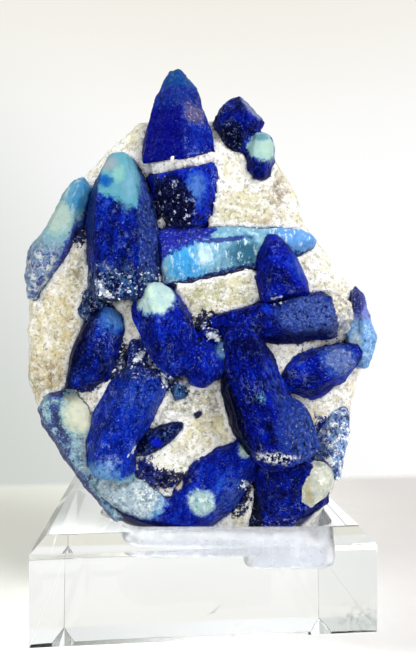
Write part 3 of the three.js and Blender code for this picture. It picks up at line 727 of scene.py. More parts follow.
blue.stain(blue.zone((-18.9, -4, 83.6), (1.2, 4, 1.2), edge=0.9, ragged=0.9, grain=2), "2A6A9C 0F4FA0",
           grain=1.2, soft=0.3)
blue.paint("06185C", blue.beyond((-20.2, -3, 82), (-1, 0, 0.1), edge=0.4) * 0.9)
crusted = blue.beyond((-14.4, -4, 67.6), (0, 0, -1), edge=1.6, ragged=2.6)
blue.paint("04072E", crusted * 0.85)
blue.flecks(crusted, ("2C5484", 1.5, 0.5, 0.58, 22, 8, 0.75, 0.85), ("98A8C4", 1.1, 0.55, 0.6, 2, 8, 0.78),
            ("D2D8E0", 1.2, 0.59, 0.63, 42, 8, 0.78))
dress(blue)

# -- Low left: the large rounded crystal below, with a pale foot and a worn head among crumbs.

LOW_AXIS = (7.9, 0, 20.8)
grow("low_left_crystal", along=LOW_AXIS, seed=31, ribs=0.03, pits=0.1)
blue = afghanite("low_left_blue", "02063E 02146C 031C8C 0626A4 1C4CBC", frost="3C5CB0",
                 along=LOW_AXIS, frosting=0.9, darkness=0.5, veins_and_glints=0.9)
worn = blue.zone((-12, -4, 43.6), (4.4, 6, 3.8), ragged=0.7)
blue.flecks(worn, ("22408C", 0.6, 0.46, 0.6, 3, 6, 0.6, 0.8), ("7C92C0", 0.5, 0.58, 0.66, 6, 6, 0.75, 0.8))
head = blue.beyond((-13, -2, 47.4), (0, 0, 1), ragged=1.8)
blue.paint("0C1038", head * 0.8)
blue.flecks(head, ("2A4690", 1, 0.5, 0.6, 9, 6, 0.6, 0.8), ("A4ACC0", 0.8, 0.57, 0.62, 21, 7, 0.75))
blue.stain(blue.zone((-19.6, -3, 29.6), (3.8, 6, 2.6), turn=-8, ragged=0.7),
           "0E3490 2C58A4 5C86B0", grain=1.5, soft=0.3)
blue.flecks(blue.zone((-17.8, -4, 31.9), (1.6, 5, 1.2), edge=0.9, ragged=0.9),
            ("8098C8", 0.8, 0.47, 0.54, 33, 7, 0.75, 0.9))
blue.stain(blue.beyond((-17, -3, 28.6), (0.1, 0, -1), edge=0.5), "4A7A9C 7A98A5", grain=0.6)
dress(blue, flecks=0.6)

# -- Left small: the dark oval crystal, light blue at its head.

SMALL_AXIS = (6, 0, 15.8)
grow("left_small_crystal", along=SMALL_AXIS, seed=41, ribs=0.03)
blue = afghanite("left_small_blue", "010114 020636 031062 061C8C 1C4AA8", along=SMALL_AXIS, frosting=0.6)
blue.stain(blue.zone((-17.4, -2, 59), (2.4, 5, 2.8), edge=0.8, ragged=0.8), "103C98 2A59AC 4A78B8",
           grain=1.2, soft=0.3)
blue.flecks(blue.zone((-19.4, -3, 54.6), (1.7, 5, 3), turn=10, ragged=0.6),
            ("5A66A4", 0.5, 0.54, 0.62, 3, 6, 0.6, 0.9))
blue.paint("010114", blue.beyond((-22.6, -3, 53), (-1, 0, 0.38)) * 0.9)
dress(blue)

# -- Right bullet: the deep ultramarine crystal, faintly ribbed.

grow("right_bullet_crystal", along=(-2.7, 0, 12.7), seed=51, ribs=0.02, pits=0.04)
blue = afghanite("bullet_blue", "01022C 02054A 030A74 041296 1436B8",
                 along=(-1, 0, 0.25), frosting=0.5, darkness=0.4)
blue.stain(blue.zone((17.2, -1, 68.6), (1.6, 5, 3), edge=0.7, ragged=0.6), "0C2A98 2E4496")
dress(blue)

# -- Foot right: the very dark ribbed crystal at the lower right.

grow("foot_right_crystal", along=(4.3, 0, 16.3), seed=61, ribs=0.1, pits=0.06)
blue = afghanite("foot_right_blue", "000112 01053C 020A60 031284 0E3498",
                 along=(0.4, 0, 1), frosting=0.35, darkness=0.8)
blue.stain(blue.zone((8.4, 2, 22), (1.6, 6, 6), turn=10), "04062E 03040F", grain=1)
blue.flecks(blue.beyond((14, 0, 20.6), (0, 0, -1), edge=0.6, ragged=1.4),
            ("7E84B0", 0.7, 0.55, 0.62, 0, 6, 0.7))
dress(blue)

# -- Almond: the pointed oval crystal on the right, frosted towards its tip.

ALMOND_AXIS = (15.3, 0, 7.1)
grow("almond_crystal", along=ALMOND_AXIS, seed=71, ribs=0.03)
blue = afghanite("almond_blue", "01021E 020850 020E7C 04189C 1440B8", along=ALMOND_AXIS, frosting=0.5)
frosty = blue.zone((24.6, -1, 50.6), (3.2, 5, 2.6), turn=-24, ragged=0.7, grain=1)
blue.stain(frosty, "1C3A92 51659F", grain=1.2)
blue.flecks(frosty, ("8992B5", 0.6, 0.54, 0.62, 5, 6, 0.7))
dress(blue, flecks=0.45)

# -- Spear: the tall top crystal, broken across and healed with white calcite, so it is in two pieces.
# Its point is worn denim blue; below it the left face is pure ultramarine.

SPEAR_AXIS = (-0.3, 0, 16.5)
grow("spear_tip_crystal", along=SPEAR_AXIS, seed=81, ribs=0.02, pits=0.07)
blue = afghanite("spear_tip_blue", "02053E 030C6C 051884 0A2898 2250B0",
                 along=SPEAR_AXIS, frosting=0.7, darkness=0.3, veins_and_glints=0.9)
pure = blue.beyond((-4.6, -2, 93), (-1, 0, -0.1), edge=0.6).without(
    blue.beyond((-8, -1, 98.2), (0, 0, 1), edge=0.6, ragged=0.6))
blue.paint("02026C", pure * 0.92)
point = blue.beyond((-6, 0, 98.8), (0.1, 0, 1), edge=1.2, ragged=1.6)
blue.paint("0C2074", point * 0.7)
blue.flecks(point, ("34508E", 0.7, 0.53, 0.6, 3, 8, 0.8, 0.8))
blue.stain(blue.beyond((-6, 0, 103), (0, 0, 1), edge=1, ragged=1.4), "123A84 0C3C80", grain=0.8)
blue.flecks(blue.beyond((-5, 0, 103), (0.3, 0, 1), edge=1, ragged=1),
            ("2C6C94", 0.9, 0.54, 0.62, 9, 6, 0.6, 0.8))
rosy = blue.zone((-2.6, -0.2, 97.4), (2, 5, 2.2), ragged=0.8)
blue.stain(rosy, "2A3478 514E78", grain=1.2)
blue.flecks(rosy, ("A898B4", 0.5, 0.56, 0.63, 8, 6, 0.6))
dress(blue, flecks=0.3)

grow("spear_foot_crystal", along=SPEAR_AXIS, seed=91, ribs=0.03, pits=0.16)
blue = afghanite("spear_foot_blue", "01033A 040C6A 04148C 0620A8 1C50C0",
                 along=SPEAR_AXIS, frosting=0.6, darkness=0.4, veins_and_glints=0.8)
blue.stain(blue.zone((-2.2, -2.6, 82.6), (1.9, 4, 3.2), turn=-12, edge=0.8, ragged=0.8),
           "0E34B0 2850B4 4870B8", grain=1.3, soft=0.3)
black = blue.zone((-7, -2, 78.8), (4.2, 6, 5.8), turn=20, edge=0.4, ragged=0.7)
blue.stain(black, "04083C 04041C")
blue.flecks(black, ("3C4674", 1, 0.56, 0.62, 21, 8, 0.8, 0.6), ("C4CCEC", 1.2, 0.585, 0.62, 31, 6, 0.7))
blue.paint("1A2258", blue.beyond((-3, -2, 76), (0, 0, -1), edge=1, ragged=1.6) * 0.6)
dress(blue)

# -- Shelf teal: the lying crystal under the spear, glassy pale teal with fine fibres across it. A navy
# skin is left on its upper left, and a crumbly one along its lower edge.

grow("shelf_teal_crystal", along=(1, 0, 0.1), seed=101, ribs=0.02, pits=0.05)
teal = Finish("shelf_teal", "6C9CB8", roughness=0.3, specular=0.15)
fibres = teal.noise(0.8, place=teal.along((0, 0, 1), 4), detail=6, roughness=0.7, shift=4)
teal.flecks(None, ("82B0C0", 2.4, 0.46, 0.56, 0, 7, 0.7, 0.8))
teal.stain(teal.zone((6.8, -1, 70.6), (2.6, 6, 3), edge=0.6, ragged=0.6), "4A7C94 2C6480", grain=0.6)
teal.stain(teal.zone((-3.8, -1, 68.8), (3.4, 6, 3.2), ragged=0.6), "489CCC 3C9CDC", grain=0.6)
teal.stain(teal.zone((-0.4, -1, 70.2), (1.9, 6, 1.9), edge=0.7, ragged=0.6), "7FB4D4 B4D4E0")
teal.stain(teal.zone((17, 0, 73.4), (5, 6, 3.4), ragged=0.5), "5088C4 5890D0", grain=0.6)
teal.paint("CDE2EA", fibres.above(0.55, 0.62) * 0.8)
teal.paint("2F6C98", fibres.above(0.44, 0.36) * 0.5)
left_end = teal.beyond((-3.2, -1, 72.3), (-0.42, 0, 1), ragged=2.2, grain=1.1).without(
    teal.beyond((1, -1, 72), (1, 0, 0), edge=1.4, ragged=2))
navy_skin = left_end + teal.beyond((-7.2, -1, 72), (-1, 0, 0.5), edge=0.6, ragged=1)
teal.stain(navy_skin, "1A4CA4 08189A", grain=0.5)
teal.flecks(left_end, ("04085A", 0.9, 0.48, 0.58, 0, 6, 0.6, 0.8))
teal.paint("10247A", teal.zone((3.4, -1, 73.3), (4.6, 6, 0.5), turn=6, edge=0.3, ragged=1.0, grain=1) * 0.9)
rim = teal.beyond((2.2, -1, 67.4), (0.24, 0, -1), edge=0.5, ragged=1.2, grain=1.1)
teal.stain(rim, "17508C 06185C 030A3C", grain=0.7)
teal.raise_by(fibres + teal.noise(0.5, detail=4))
teal.milky = teal.beyond((2.2, -1, 68.4), (-0.24, 0, 1), edge=0.5, ragged=1.2).without(left_end)
dress(teal, bump=0.12, light=0.15, pale="D4E8EC", deep="10307C")

# -- Foot left: the royal blue crystal across the foot, with round spots of mint calcite, and the mottled
# white and pale blue crystal that grew into it.

grow("foot_left_crystals", along=(15.7, 0, 17), seed=111, ribs=0.03, pits=0.14)
blue = afghanite("foot_left_blue", "010444 030C6C 041484 0620A0 1C50B8",
                 along=(15.7, 0, 17), darkness=0.4, frosting=0.6)
blue.flecks(blue.zone((4.6, -1, 25.4), (3.2, 6, 4.2), edge=0.6, ragged=0.8),
            ("33508F", 0.8, 0.47, 0.57, 25, 6, 0.75, 0.9))
mottled = blue.zone((-15.6, 0, 25), (7.4, 9, 5.6), edge=0.3, ragged=0.35)
blue.stain(mottled, "0E3CA0 4488BC 7C9CB4 94A7B3", grain=0.5)
blue.flecks(mottled, ("B9C9CC", 0.8, 0.5, 0.57, 3, 7, 0.7))
blue.flecks(mottled * blue.zone((-11.4, 0, 25), (2.6, 9, 2.6), edge=0.6),
            ("E2E9E6", 0.6, 0.5, 0.58, 7, 6, 0.6))
blue.flecks(mottled, ("4C6C9C", 0.7, 0.56, 0.62, 5, 7, 0.7, 0.8))
for at, radius in (((-1.2, -0.6, 24), 2.5), ((7.1, 1, 33.8), 1.5)):
    spot = blue.zone(at, (radius, 6, radius), edge=0.3, ragged=0.4, grain=0.9)
    blue.stain(spot, "2C4CA4 7F9CB8 98B4B6", grain=0.8, soft=0.2)
    blue.flecks(spot, ("C4D4CC", 1.1, 0.5, 0.58, 9, 6, 0.7), ("6690A4", 1.2, 0.54, 0.6, 19, 6, 0.7))
    blue.milky = blue.milky + spot if blue.milky else spot
crumbly = blue.zone((-7.6, 0, 29.4), (4.2, 9, 2.6), turn=-20, ragged=0.7)
blue.stain(crumbly, "050A50 0C0E30")
blue.flecks(crumbly, ("8C94B0", 0.8, 0.55, 0.61, 27, 7, 0.7))
blue.paint("060A44", blue.beyond((-10, 2, 20.2), (-0.3, 0, -1), edge=0.5))
blue.paint("CFC8B8", blue.zone((-5.9, 1, 26.8), (1.1, 5, 0.9), turn=20, edge=0.2, ragged=0.5, grain=0.8))
dress(blue)

# -- Pale rim: the pale crystal on the lower left rim, a cream kernel in a teal and navy skin.

grow("pale_rim_crystal", along=(-15.4, 0, 23.4), seed=121, ribs=0.04, pits=0.16)
pale = Finish("pale_rim", "5E84A0", roughness=0.42, specular=0.25)
pale.flecks(None, ("8CACB8", 1.4, 0.46, 0.54, 0, 8, 0.75), ("C4CCC8", 1.1, 0.57, 0.62, 14, 8, 0.75),
            ("142060", 1.6, 0.51, 0.57, 4, 8, 0.75, 0.95))
pale.stain(pale.zone((-27.6, 0.7, 38.6), (1.5, 6, 3.4), turn=24, edge=0.6, ragged=0.9, grain=2),
           "223C78 0C1C50", grain=1.8)
pale.stain(pale.beyond((-26.4, 1, 32), (-0.82, 0, -0.57), ragged=1.6), "364C80 1C2A60")
pale.stain(pale.beyond((-26, 1, 43.2), (0.1, 0, 1), ragged=1.4), "4C6EA0 16287C 0C1A5C")
kernel = pale.zone((-24.4, 0.6, 40.4), (2.9, 5, 4), turn=10, edge=0.6, ragged=0.5)
pale.stain(kernel, "6F98A4 9AB4B0 BCC1AA C6C8B2", grain=1.3, soft=0.2)
pale.flecks(kernel, ("8FA8A4", 1.5, 0.5, 0.6, 12, 7, 0.75, 0.5))
pale.paint("8A9A9E", pale.zone((-22.4, 1, 33.4), (1.6, 6, 3), turn=24, edge=0.6) * 0.8)
pale.raise_by(pale.noise(0.5, detail=5))
pale.milky = kernel
dress(pale, flecks=0.6, pale="D4DCDC", deep="0C1A58")

# -- Left pale: the slanted crystal on the upper left rim, teal above and lavender below.

grow("left_pale_crystal", along=(10.4, 0, 24.4), seed=131, ribs=0.03, pits=0.08)
pale = Finish("left_pale", "6692A2", roughness=0.38, specular=0.3)
pale.flecks(None, ("7496A4", 1.8, 0.45, 0.58, 0, 6, 0.6, 0.8))
pale.stain(pale.zone((-28, 1, 77.4), (2.2, 6, 3.4), turn=-24, edge=0.6, ragged=0.5),
           "80A2A2 99B0A8", grain=0.5)
pale.stain(pale.zone((-23.6, 2, 83), (2.2, 6, 4.4), turn=-24, edge=0.6, ragged=0.5),
           "4A88A6 2F7AA8", grain=0.5)
pale.paint("9DB6C6", pale.noise(0.8, place=pale.along((10.4, 0, 24.4), 3), detail=6).above(0.54, 0.62) * 0.6)
below = pale.beyond((-30.8, 2, 71.8), (-0.2, 0, -1), edge=1.8, ragged=2.0)
pale.paint("667C9F", below * 0.9)
pale.flecks(below, ("BCC4C4", 1.4, 0.5, 0.56, 3, 8, 0.75), ("14247C", 1.3, 0.51, 0.57, 6, 8, 0.75, 0.95))
pale.stain(pale.beyond((-28.4, 2, 70), (0.88, 0, -0.46), edge=0.6, ragged=1.4), "2C4C98 0C1A78")
pale.raise_by(pale.noise(0.5, detail=5))
pale.milky = pale.beyond((-30.8, 2, 73), (0.2, 0, 1), edge=1.8, ragged=2)
dress(pale, flecks=0.5, pale="C8D2D6", deep="142480")

# -- Rim pale: the pale blue crystal on the right rim, navy at its head.

grow("rim_pale_crystal", along=(0, 0, 1), seed=141, ribs=0.04, pits=0.14)
pale = Finish("rim_pale", "6094D0", roughness=0.4, specular=0.3)
pale.flecks(None, ("98BEDC", 0.9, 0.48, 0.58, 0, 7, 0.75), ("3A5EA0", 1.2, 0.53, 0.61, 4, 6, 0.7, 0.8))
pale.stain(pale.zone((28.2, 3, 54), (0.9, 5, 2), edge=0.6), "8CB0CC A4BCD0")
pale.stain(pale.beyond((29, 3, 58.4), (0, 0, 1), ragged=1.2), "6A80C0 626EB8", grain=0.7)
pale.stain(pale.zone((28.9, 3.6, 62.4), (1.3, 6, 2.8), edge=0.4), "1C2C94 080E6C", grain=0.7)
pale.raise_by(pale.noise(0.5, detail=5))
dress(pale, flecks=0.6, pale="D8E8F0", deep="24509C")

# -- Speckled: the crystal on the lower right rim, dusted with light blue and white grains.

grow("speckled_crystal", along=(2, 0, 14), seed=151, ribs=0.04, pits=0.2)
specks = Finish("speckled", "2C4C9C", roughness=0.5, specular=0.2)
specks.flecks(None, ("7C9CC8", 1.1, 0.46, 0.54, 0, 8, 0.75), ("EAF0F2", 1.3, 0.51, 0.56, 4, 8, 0.75),
              ("080E44", 1.3, 0.53, 0.58, 8, 8, 0.75, 0.95))
specks.paint("101A58", specks.beyond((22.6, 1, 35), (-1, 0, 0), edge=0.6, ragged=1.2) * 0.5)
specks.raise_by(specks.noise(0.5, detail=5))
dress(specks, flecks=0.7, pale="E4ECEE", deep="081048")

# -- Corner pair: the dark crystal at the top right with one worn grey facet, and the small one grown
# against it, mint above and deep blue below.

grow("corner_pair_crystals", seed=161, ribs=0.03, pits=0.12)
blue = afghanite("corner_blue", "01021C 020640 030C6C 041690 1844AC", frosting=0.4)
blue.stain(blue.zone((8.4, 2, 99.4), (1.3, 6, 3.2), turn=36, edge=0.3, ragged=0.4),
           "3C4C90 6F789B", grain=0.6)
low_left_side = blue.zone((3.6, 1, 92.6), (2.8, 6, 3.4), turn=-40, edge=0.4, ragged=0.7)
blue.stain(low_left_side, "04083A 04061C")
blue.flecks(low_left_side, ("7480A8", 0.6, 0.56, 0.63, 21, 7, 0.7))
blue.milky = blue.zone((10.4, 0, 91.5), (2.9, 6, 2.8), edge=0.15, ragged=0.4, grain=1)
blue.stain(blue.milky, "3C68A8 85A8B0 8FB4B4", grain=0.4)
blue.paint("A4C0B4", blue.zone((11.2, 0, 90.8), (1.9, 6, 1.7), edge=0.9) * 0.9)
blue.stain(blue.zone((10.2, 0, 93.2), (1.6, 6, 0.8), ragged=0.6, grain=0.8), "7C9CA8 5F8894", grain=0.5)
dress(blue)

# -- Splinter and bud: the two small crystals in the open marble.

grow("splinter_crystal", along=(8.6, 0, 5.6), seed=171, ribs=0.05, pits=0.2, voxel=0.2)
blue = afghanite("splinter_blue", "01020F 02061E 040A2C 0A1C60 3A5090", darkness=0.8)
blue.stain(blue.zone((-9.6, 0, 35.2), (1.3, 4, 0.9), turn=-30), "040E70 0818A8", grain=0.6)
dress(blue)

grow("bud_crystal", seed=181, ribs=0.03, pits=0.1, voxel=0.2)
blue = afghanite("bud_blue", "030A3A 0A1C50 122C60 1E4680 4A72A0", frosting=0.3, darkness=0.5)
blue.flecks(blue.zone((-5.4, 0, 44.8), (1.2, 4, 1.3), edge=0.9), ("5478A0", 0.8, 0.47, 0.55, 5, 6, 0.75))
dress(blue)

# ---- Calcite knob --------------------------------------------------
# A rounded grain of cream calcite, milky and a little see-through, set in the dark crystal at the foot.

grow("calcite_knob", name="calcite_knob_skin", along=(0.5, 0, 1), seed=191, ribs=0.04, pits=0.08, voxel=0.2)
cream = Finish("cream_calcite", "AEB0A2", roughness=0.35, specular=0.4)
cream.flecks(None, ("C2C5B8", 1.6, 0.45, 0.57, 0, 6, 0.65), ("E6E6D8", 1.3, 0.54, 0.62, 14, 6, 0.65))
cream.paint("9C8C5C", cream.zone((18.6, -3, 26), (0.7, 4, 2.4), turn=10, edge=0.6, ragged=0.8, grain=1) * 0.7)
cream.flecks(None, ("8FA0A4", 1.1, 0.54, 0.63, 4, 6, 0.6, 0.7))
cream.raise_by(cream.noise(0.6, detail=4))
cream.milky = cream.noise(4).above(0, 0.1)
dress(cream, flecks=0.25, pale="F0F0E4", deep="6C7480")

# ---- Marble --------------------------------------------------------
# The slab is sugary white marble, broken by hand on its sides and back, where it has shallow scoops. Their
# # hollows are painted darker, as painted shade, and their ridges lighter, as painted highlights. It closes
# tightly
# # round every crystal, and is stained brown in a few hollows. A dark line of painted shade lies on it where
# it
# # meets the crystals. The stains, the places crumbly with dark splinters, and the white crusts on the
# crystals
# # are listed by place and size in millimetres.

marble = fine_copy("marble_matrix", "marble", 0.45, 3)
before = points_of(marble)
crystal_skins = skin_tree(crystals)


def nearness(piece, skins, reach):
    """How near each point of a piece is to other pieces' skins: 1 at the skin, 0 at the reach."""
    found = (skins.find_nearest(Vector(point), reach * MM)[3] for point in points_of(piece))
    return np.array([0 if distance is None else 1 - distance / (reach * MM) for distance in found])


SCOOPS = ((11, 1.5), (5, 0.9), (2, 0.4))
STAINS = (
    ((-30.5, 5, 52), (8, 10, 17), "D0BE88"), ((-26.6, 5, 54), (3.2, 8, 10), "C2B07C"),
    ((-31.6, 6, 47.2), (4.2, 8, 3.6), "8C7448"),
    ((-25, 4, 67.6), (2, 5, 3.4), "7C6E4A"), ((4, 3, 62.6), (15, 8, 3.8), "A9A66C"),
    ((-3, 3, 43.5), (8, 8, 5.4), "70706E"), ((1.5, 3, 37), (7, 8, 3.4), "D0C690"),
    ((6, 3, 79), (6, 8, 3.6), "C4BF90"),
    ((13.6, 7, 82.6), (2.4, 9, 5), "866C50"), ((10.4, 4, 76.6), (2.6, 8, 2.6), "B49C80"),
    ((24, 4, 40.4), (4, 8, 3), "CDBF96"), ((-1.6, 3, 29.6), (5, 8, 2), "C8C6A6"),
)
CRUMBLY = (
    ((-13.4, 3, 51.4), (5.4, 6, 3), "080A2A"), ((-7.8, 4, 27.9), (4.6, 5, 2.4), "120E34"),
    ((0.8, 3, 57.4), (4, 6, 3), "080A2A"), ((-24.8, 4, 74.2), (1.6, 6, 2), "0A1448"),
    ((-23.4, 4, 45.3), (2.8, 6, 1.2), "10247C"), ((-17.6, 4, 48.3), (2.2, 6, 3), "1C2C68"),
    ((-11.8, 3, 28.4), (2.4, 6, 4.2), "081C7C"), ((5.6, 4, 24.7), (2.8, 6, 4.6), "0A0E34"),
    ((21.8, 4, 34.4), (2.6, 6, 5.4), "122470"), ((-18.5, 4, 66), (4, 6, 1.6), "081048"),
)
CRUSTS = (
    ((-19.9, -4.8, 64.6), 0.9), ((-19.3, -4.8, 63.4), 0.8), ((-18.2, -5, 62.6), 0.7),
    ((-17.4, -4.8, 62), 0.7), ((-8.9, 0.5, 66), 1), ((-0.9, 0, 58.2), 1.2),
    ((0.6, -1.1, 55.3), 0.9), ((1.8, -0.8, 54.6), 0.8), ((-12.4, -1, 51.8), 0.8),
    ((-11, 0, 50.4), 0.8), ((-10.2, -1, 49.5), 0.8), ((-9.2, -1, 48.4), 0.8),
    ((-8.3, -1.4, 47.4), 0.8), ((-7.6, -0.6, 46.2), 0.8), ((-13.4, -1.5, 50.6), 0.8),
    ((-13.9, -1.9, 33.8), 0.8), ((12.4, -3, 61.6), 1), ((6.9, -0.4, 27), 1),
    ((-4.4, 0, 46.4), 0.9), ((-18.6, 0, 29.2), 0.8),
)


def bell(points, at, radii):
    """1 at a place in the stone and falling off around it."""
    return np.exp(-(((points - np.array(at)) / np.array(radii)) ** 2).sum(1))


near = nearness(marble, crystal_skins, 3.2)
facing = facing_front(marble)
stone = in_stone(before)
rise = 0.3 * smooth_step(near, 0.05, 0.95) * smooth_step(facing, 0.1, 0.7)
rise *= 0.45 + 0.55 * smooth_step(lumps(stone, 2.6, 207), -0.6, 0.5)
forward = np.array(STONE_AXES @ Vector((0, -1, 0)))
move_points(marble, before + np.outer(rise * MM, forward))
nestle(marble, crystals, reach=1.3)
points = points_of(marble)
stone = in_stone(points)
height = 0.4 * lumps(stone, 6, 201) + 0.3 * lumps(stone, 2.6, 202) + 0.22 * lumps(stone, 1.4, 203)
height += 0.13 * lumps(stone, 0.9, 204)
height = height * (1 - 0.6 * near) + 0.15 * smooth_step(near, 0.6, 0.85) * lumps(stone, 1.2, 205)
scoops = sum(depth * np.abs(lumps(stone, size, 210 + size)) for size, depth in SCOOPS)
height -= scoops * smooth_step(-facing, 0.1, 0.5) * (1 - near)
save_attribute(marble, "hollow", scoops / 2)
points = points + points_of(marble, "normal") * (height * MM)[:, None]
keep(marble, before, points)
save_attribute(marble, "near", nearness(marble, crystal_skins, 2))
marble_skin = skin_tree([marble])
for piece in crystals:
    stone = in_stone(points_of(piece))
    save_attribute(piece, "seam", nearness(piece, marble_skin, 1))
    save_attribute(piece, "crust", np.clip(sum(bell(stone, at, radius) for at, radius in CRUSTS), 0, 1))
white = Finish("white_marble", "E4E0D4", roughness=0.6, specular=0.2)
sugar = white.grains(0.6) * 0.4 + white.grains(1.3) * 0.3 + white.noise(1.4, detail=9, roughness=0.8) * 1.1
clouds = white.noise(3.4, detail=8, roughness=0.75)
white.tones(sugar * 0.8 + (clouds - 0.5) * 1.4 - 0.2, (0.12, 0.3, 0.46, 0.62), "A8A08A D4CFBE EDEAE0 FFFFFE")
white.flecks(None, ("DED7A4", 4.2, 0.5, 0.6, 5, 8, 0.75, 0.55))
behind = white.beyond((0, 10, 0), (0, 1, 0), edge=2.5, ragged=2)
white.milky = behind
white.paint("F0EEE6", behind * 0.4)
white.paint("CFCABB", behind * white.grains(1.7).above(0.52, 0.6) * 0.45)
white.paint("FBFAF6", behind * white.grains(1.1).above(0.6, 0.66) * 0.7)
white.flecks(behind, ("C9B488", 11, 0.52, 0.66, 71, 9, 0.7, 0.55))
# Painted shade in the hollows of the scoops at the back, and painted highlights on their ridges.
hollow = white.attribute("hollow") + (white.noise(1.4, detail=7, roughness=0.75, shift=77) - 0.5) * 0.4
white.paint("B4AC96", behind * hollow.above(0.4, 0.75) * 0.6)
white.paint("FFFFFF", behind * hollow.above(0.14, 0.04) * 0.8)
for at, radii, code in STAINS:
    stained = white.zone(at, radii, ragged=0.7)
    white.flecks(stained, (code, 1.6, 0.42, 0.58, at[0], 8, 0.8, 0.75))
white.paint("B89C68", (white.noise(2.2, detail=8, shift=15, roughness=0.75).above(0.6, 0.68) * 0.5)
            .without(behind * 0.7))
white.paint("77705F", (white.noise(1.1, detail=8, roughness=0.8, shift=9).above(0.6, 0.66) * 0.6)
            .without(behind * 0.8))
rough_near = white.attribute("near") + (white.noise(1, detail=8, roughness=0.8, shift=6) - 0.5) * 1.5
white.paint("FCFCFB", rough_near.above(0.5, 0.7))
healed = white.zone((-5.6, 2, 88.6), (8, 8, 2.2), turn=-3, ragged=0.2, edge=0.12)
white.paint("E9E7EE", healed)
white.flecks(healed, ("FCFCFC", 1.2, 0.44, 0.54, 44, 7, 0.6))
# Painted shade: a dark line on the marble right against the crystals, but not along the healed crack.
white.paint("10143C", (rough_near.above(0.9, 1.02) * white.noise(1.6, detail=6, shift=31).above(0.5, 0.58))
            .without(white.zone((-5.6, 2, 88.6), (9, 8, 3), turn=-3, edge=0.12)))
white.flecks(None, ("1B1F4C", 0.8, 0.68, 0.71, 14, 4, 0.6, 0.8))
white.paint("14143C", white.zone((-1.9, 1, 40.2), (0.9, 3, 0.7), turn=30, edge=0.2, ragged=0.5, grain=0.6))
for at, radii, code in CRUMBLY:
    place = white.crumbled(white.zone(at, radii, edge=0.6), size=0.9, amount=2.4)
    white.paint(code, place)
    white.flecks(place, ("2A3C7C", 0.9, 0.52, 0.6, at[2], 7, 0.75, 0.8),
                 ("BCC0CC", 0.8, 0.56, 0.61, at[0], 7, 0.75))
# Painted shade in the marble's pits and painted highlights on its high points.
white.shade_pits_and_light_tops(light=0.25, highlight="C8C8C8")
white.raise_by(sugar * 1.2)
marble.data.materials.append(white.done(bump=0.3))
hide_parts("marble_matrix")
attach(marble, "root")

# ---- Crumbs --------------------------------------------------------
# The point that freed the crystals left crumbs of white calcite, and splinters of dark afghanite, stuck
# where a crystal goes into the marble. They are angular grains of a quarter to one millimetre.

GRAIN_STRETCH = (0.4, 1.6)
GRAIN_FLATNESS = 0.7
GRAIN_ROUGHNESS = (0.75, 1.25)


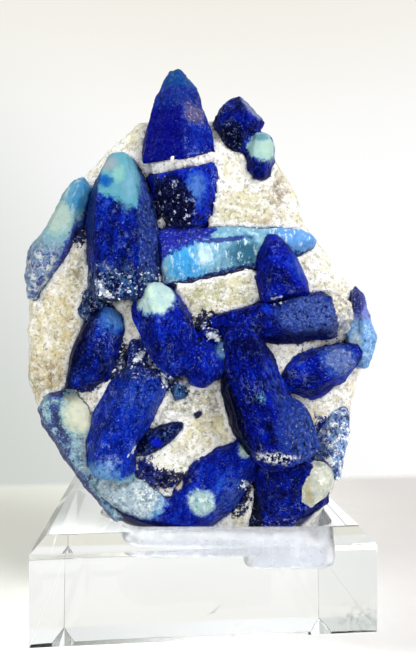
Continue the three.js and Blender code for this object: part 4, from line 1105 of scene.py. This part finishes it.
def scatter(name, carriers, chance, count, sizes, seed):
    """Angular grains, most of them small, set on the carriers' skins. There are more of them where the chance
    given for a point of the skins is higher."""
    draw = np.random.default_rng(seed)
    spots = draw.choice(len(chance), count, p=chance / chance.sum())
    places = np.concatenate([points_of(carrier) for carrier in carriers])[spots]
    normals = np.concatenate([points_of(carrier, "normal") for carrier in carriers])[spots]
    bpy.ops.mesh.primitive_ico_sphere_add(subdivisions=1, radius=1)
    piece = bpy.context.object
    piece.name = name
    corners = points_of(piece)
    faces = np.array([face.vertices[:] for face in piece.data.polygons])
    all_corners, all_faces = [], []
    for i, (place, normal) in enumerate(zip(places, normals)):
        size = draw.uniform(*sizes) ** 1.5 / sizes[1] ** 0.5
        stretch = draw.uniform(*GRAIN_STRETCH, 3) * (1, 1, GRAIN_FLATNESS)
        turn = np.array(Vector(normal).to_track_quat("Z", "Y").to_matrix()
                        @ Matrix.Rotation(draw.uniform(0, 6.28), 3, "Z"))
        grain = corners * draw.uniform(*GRAIN_ROUGHNESS, (len(corners), 1)) * stretch * size * MM / 2
        all_corners.append(grain @ turn.T + place + normal * size * 0.12 * MM)
        all_faces.append(faces + i * len(corners))
    all_corners = np.concatenate(all_corners)
    low, high = (np.array(corner) for corner in cad_box)
    piece.data.clear_geometry()
    piece.data.from_pydata(np.clip(all_corners, low, high).tolist(), [], np.concatenate(all_faces).tolist())
    piece.data.update()
    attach(piece, "root")
    return piece


stone = in_stone(points_of(marble))
near = nearness(marble, crystal_skins, 1.6)
facing = facing_front(marble)
seams = smooth_step(near, 0.35, 0.7) * smooth_step(facing, 0, 0.5) * smooth_step(stone[:, 2], 21, 24)
patchy = smooth_step(lumps(stone, 4, 301), -0.4, 0.5)
crumbs = scatter("calcite_crumbs", [marble], seams * patchy + 1e-9, 1100, (0.2, 0.75), 5)
chalk = Finish("calcite_crumb", "E6E6E2", roughness=0.5, specular=0.3)
chalk.paint("BFBCB4", chalk.grains(0.8).above(0.5, 0.7) * 0.7)
chalk.flecks(None, ("9AA4B8", 0.4, 0.58, 0.66, 0, 5, 0.6, 0.5))
crumbs.data.materials.append(chalk.done())

dark_places = sum(bell(stone, at, radii * np.array((0.8, 1.5, 0.8))) for at, radii, _ in CRUMBLY)
dark_places = smooth_step(dark_places, 0.3, 0.9) * smooth_step(facing, 0, 0.5)
shards = scatter("dark_splinters", [marble], dark_places, 620, (0.3, 1.1), 6)
night = Finish("dark_splinter", "070A30", roughness=0.4, specular=0.3, gloss="2036A0")
night.paint("0A1A78", night.grains(1).above(0.6, 0.7))
night.flecks(None, ("8C9AC8", 0.4, 0.6, 0.68, 0, 5, 0.6, 0.6))
shards.data.materials.append(night.done())

stone = in_stone(np.concatenate([points_of(piece) for piece in crystals]))
chance = sum(bell(stone, at, radius * 1.2) for at, radius in CRUSTS)
chance += 0.12 * bell(stone, (-14.8, -4.6, 64.6), (5, 3, 2.6))
chance *= smooth_step(facing_front(*crystals), -0.1, 0.4)
crust_crumbs = scatter("crust_crumbs", crystals, chance, 420, (0.15, 0.65), 8)
pearl = Finish("crust_crumb", "8490B0", roughness=0.5, specular=0.3)
pearl.paint("DCE0E6", pearl.grains(0.7).above(0.56, 0.7))
pearl.flecks(None, ("3C4A7C", 0.4, 0.58, 0.66, 3, 5, 0.6, 0.7))
crust_crumbs.data.materials.append(pearl.done())

# ---- Scene update --------------------------------------------------

bpy.context.view_layer.update()
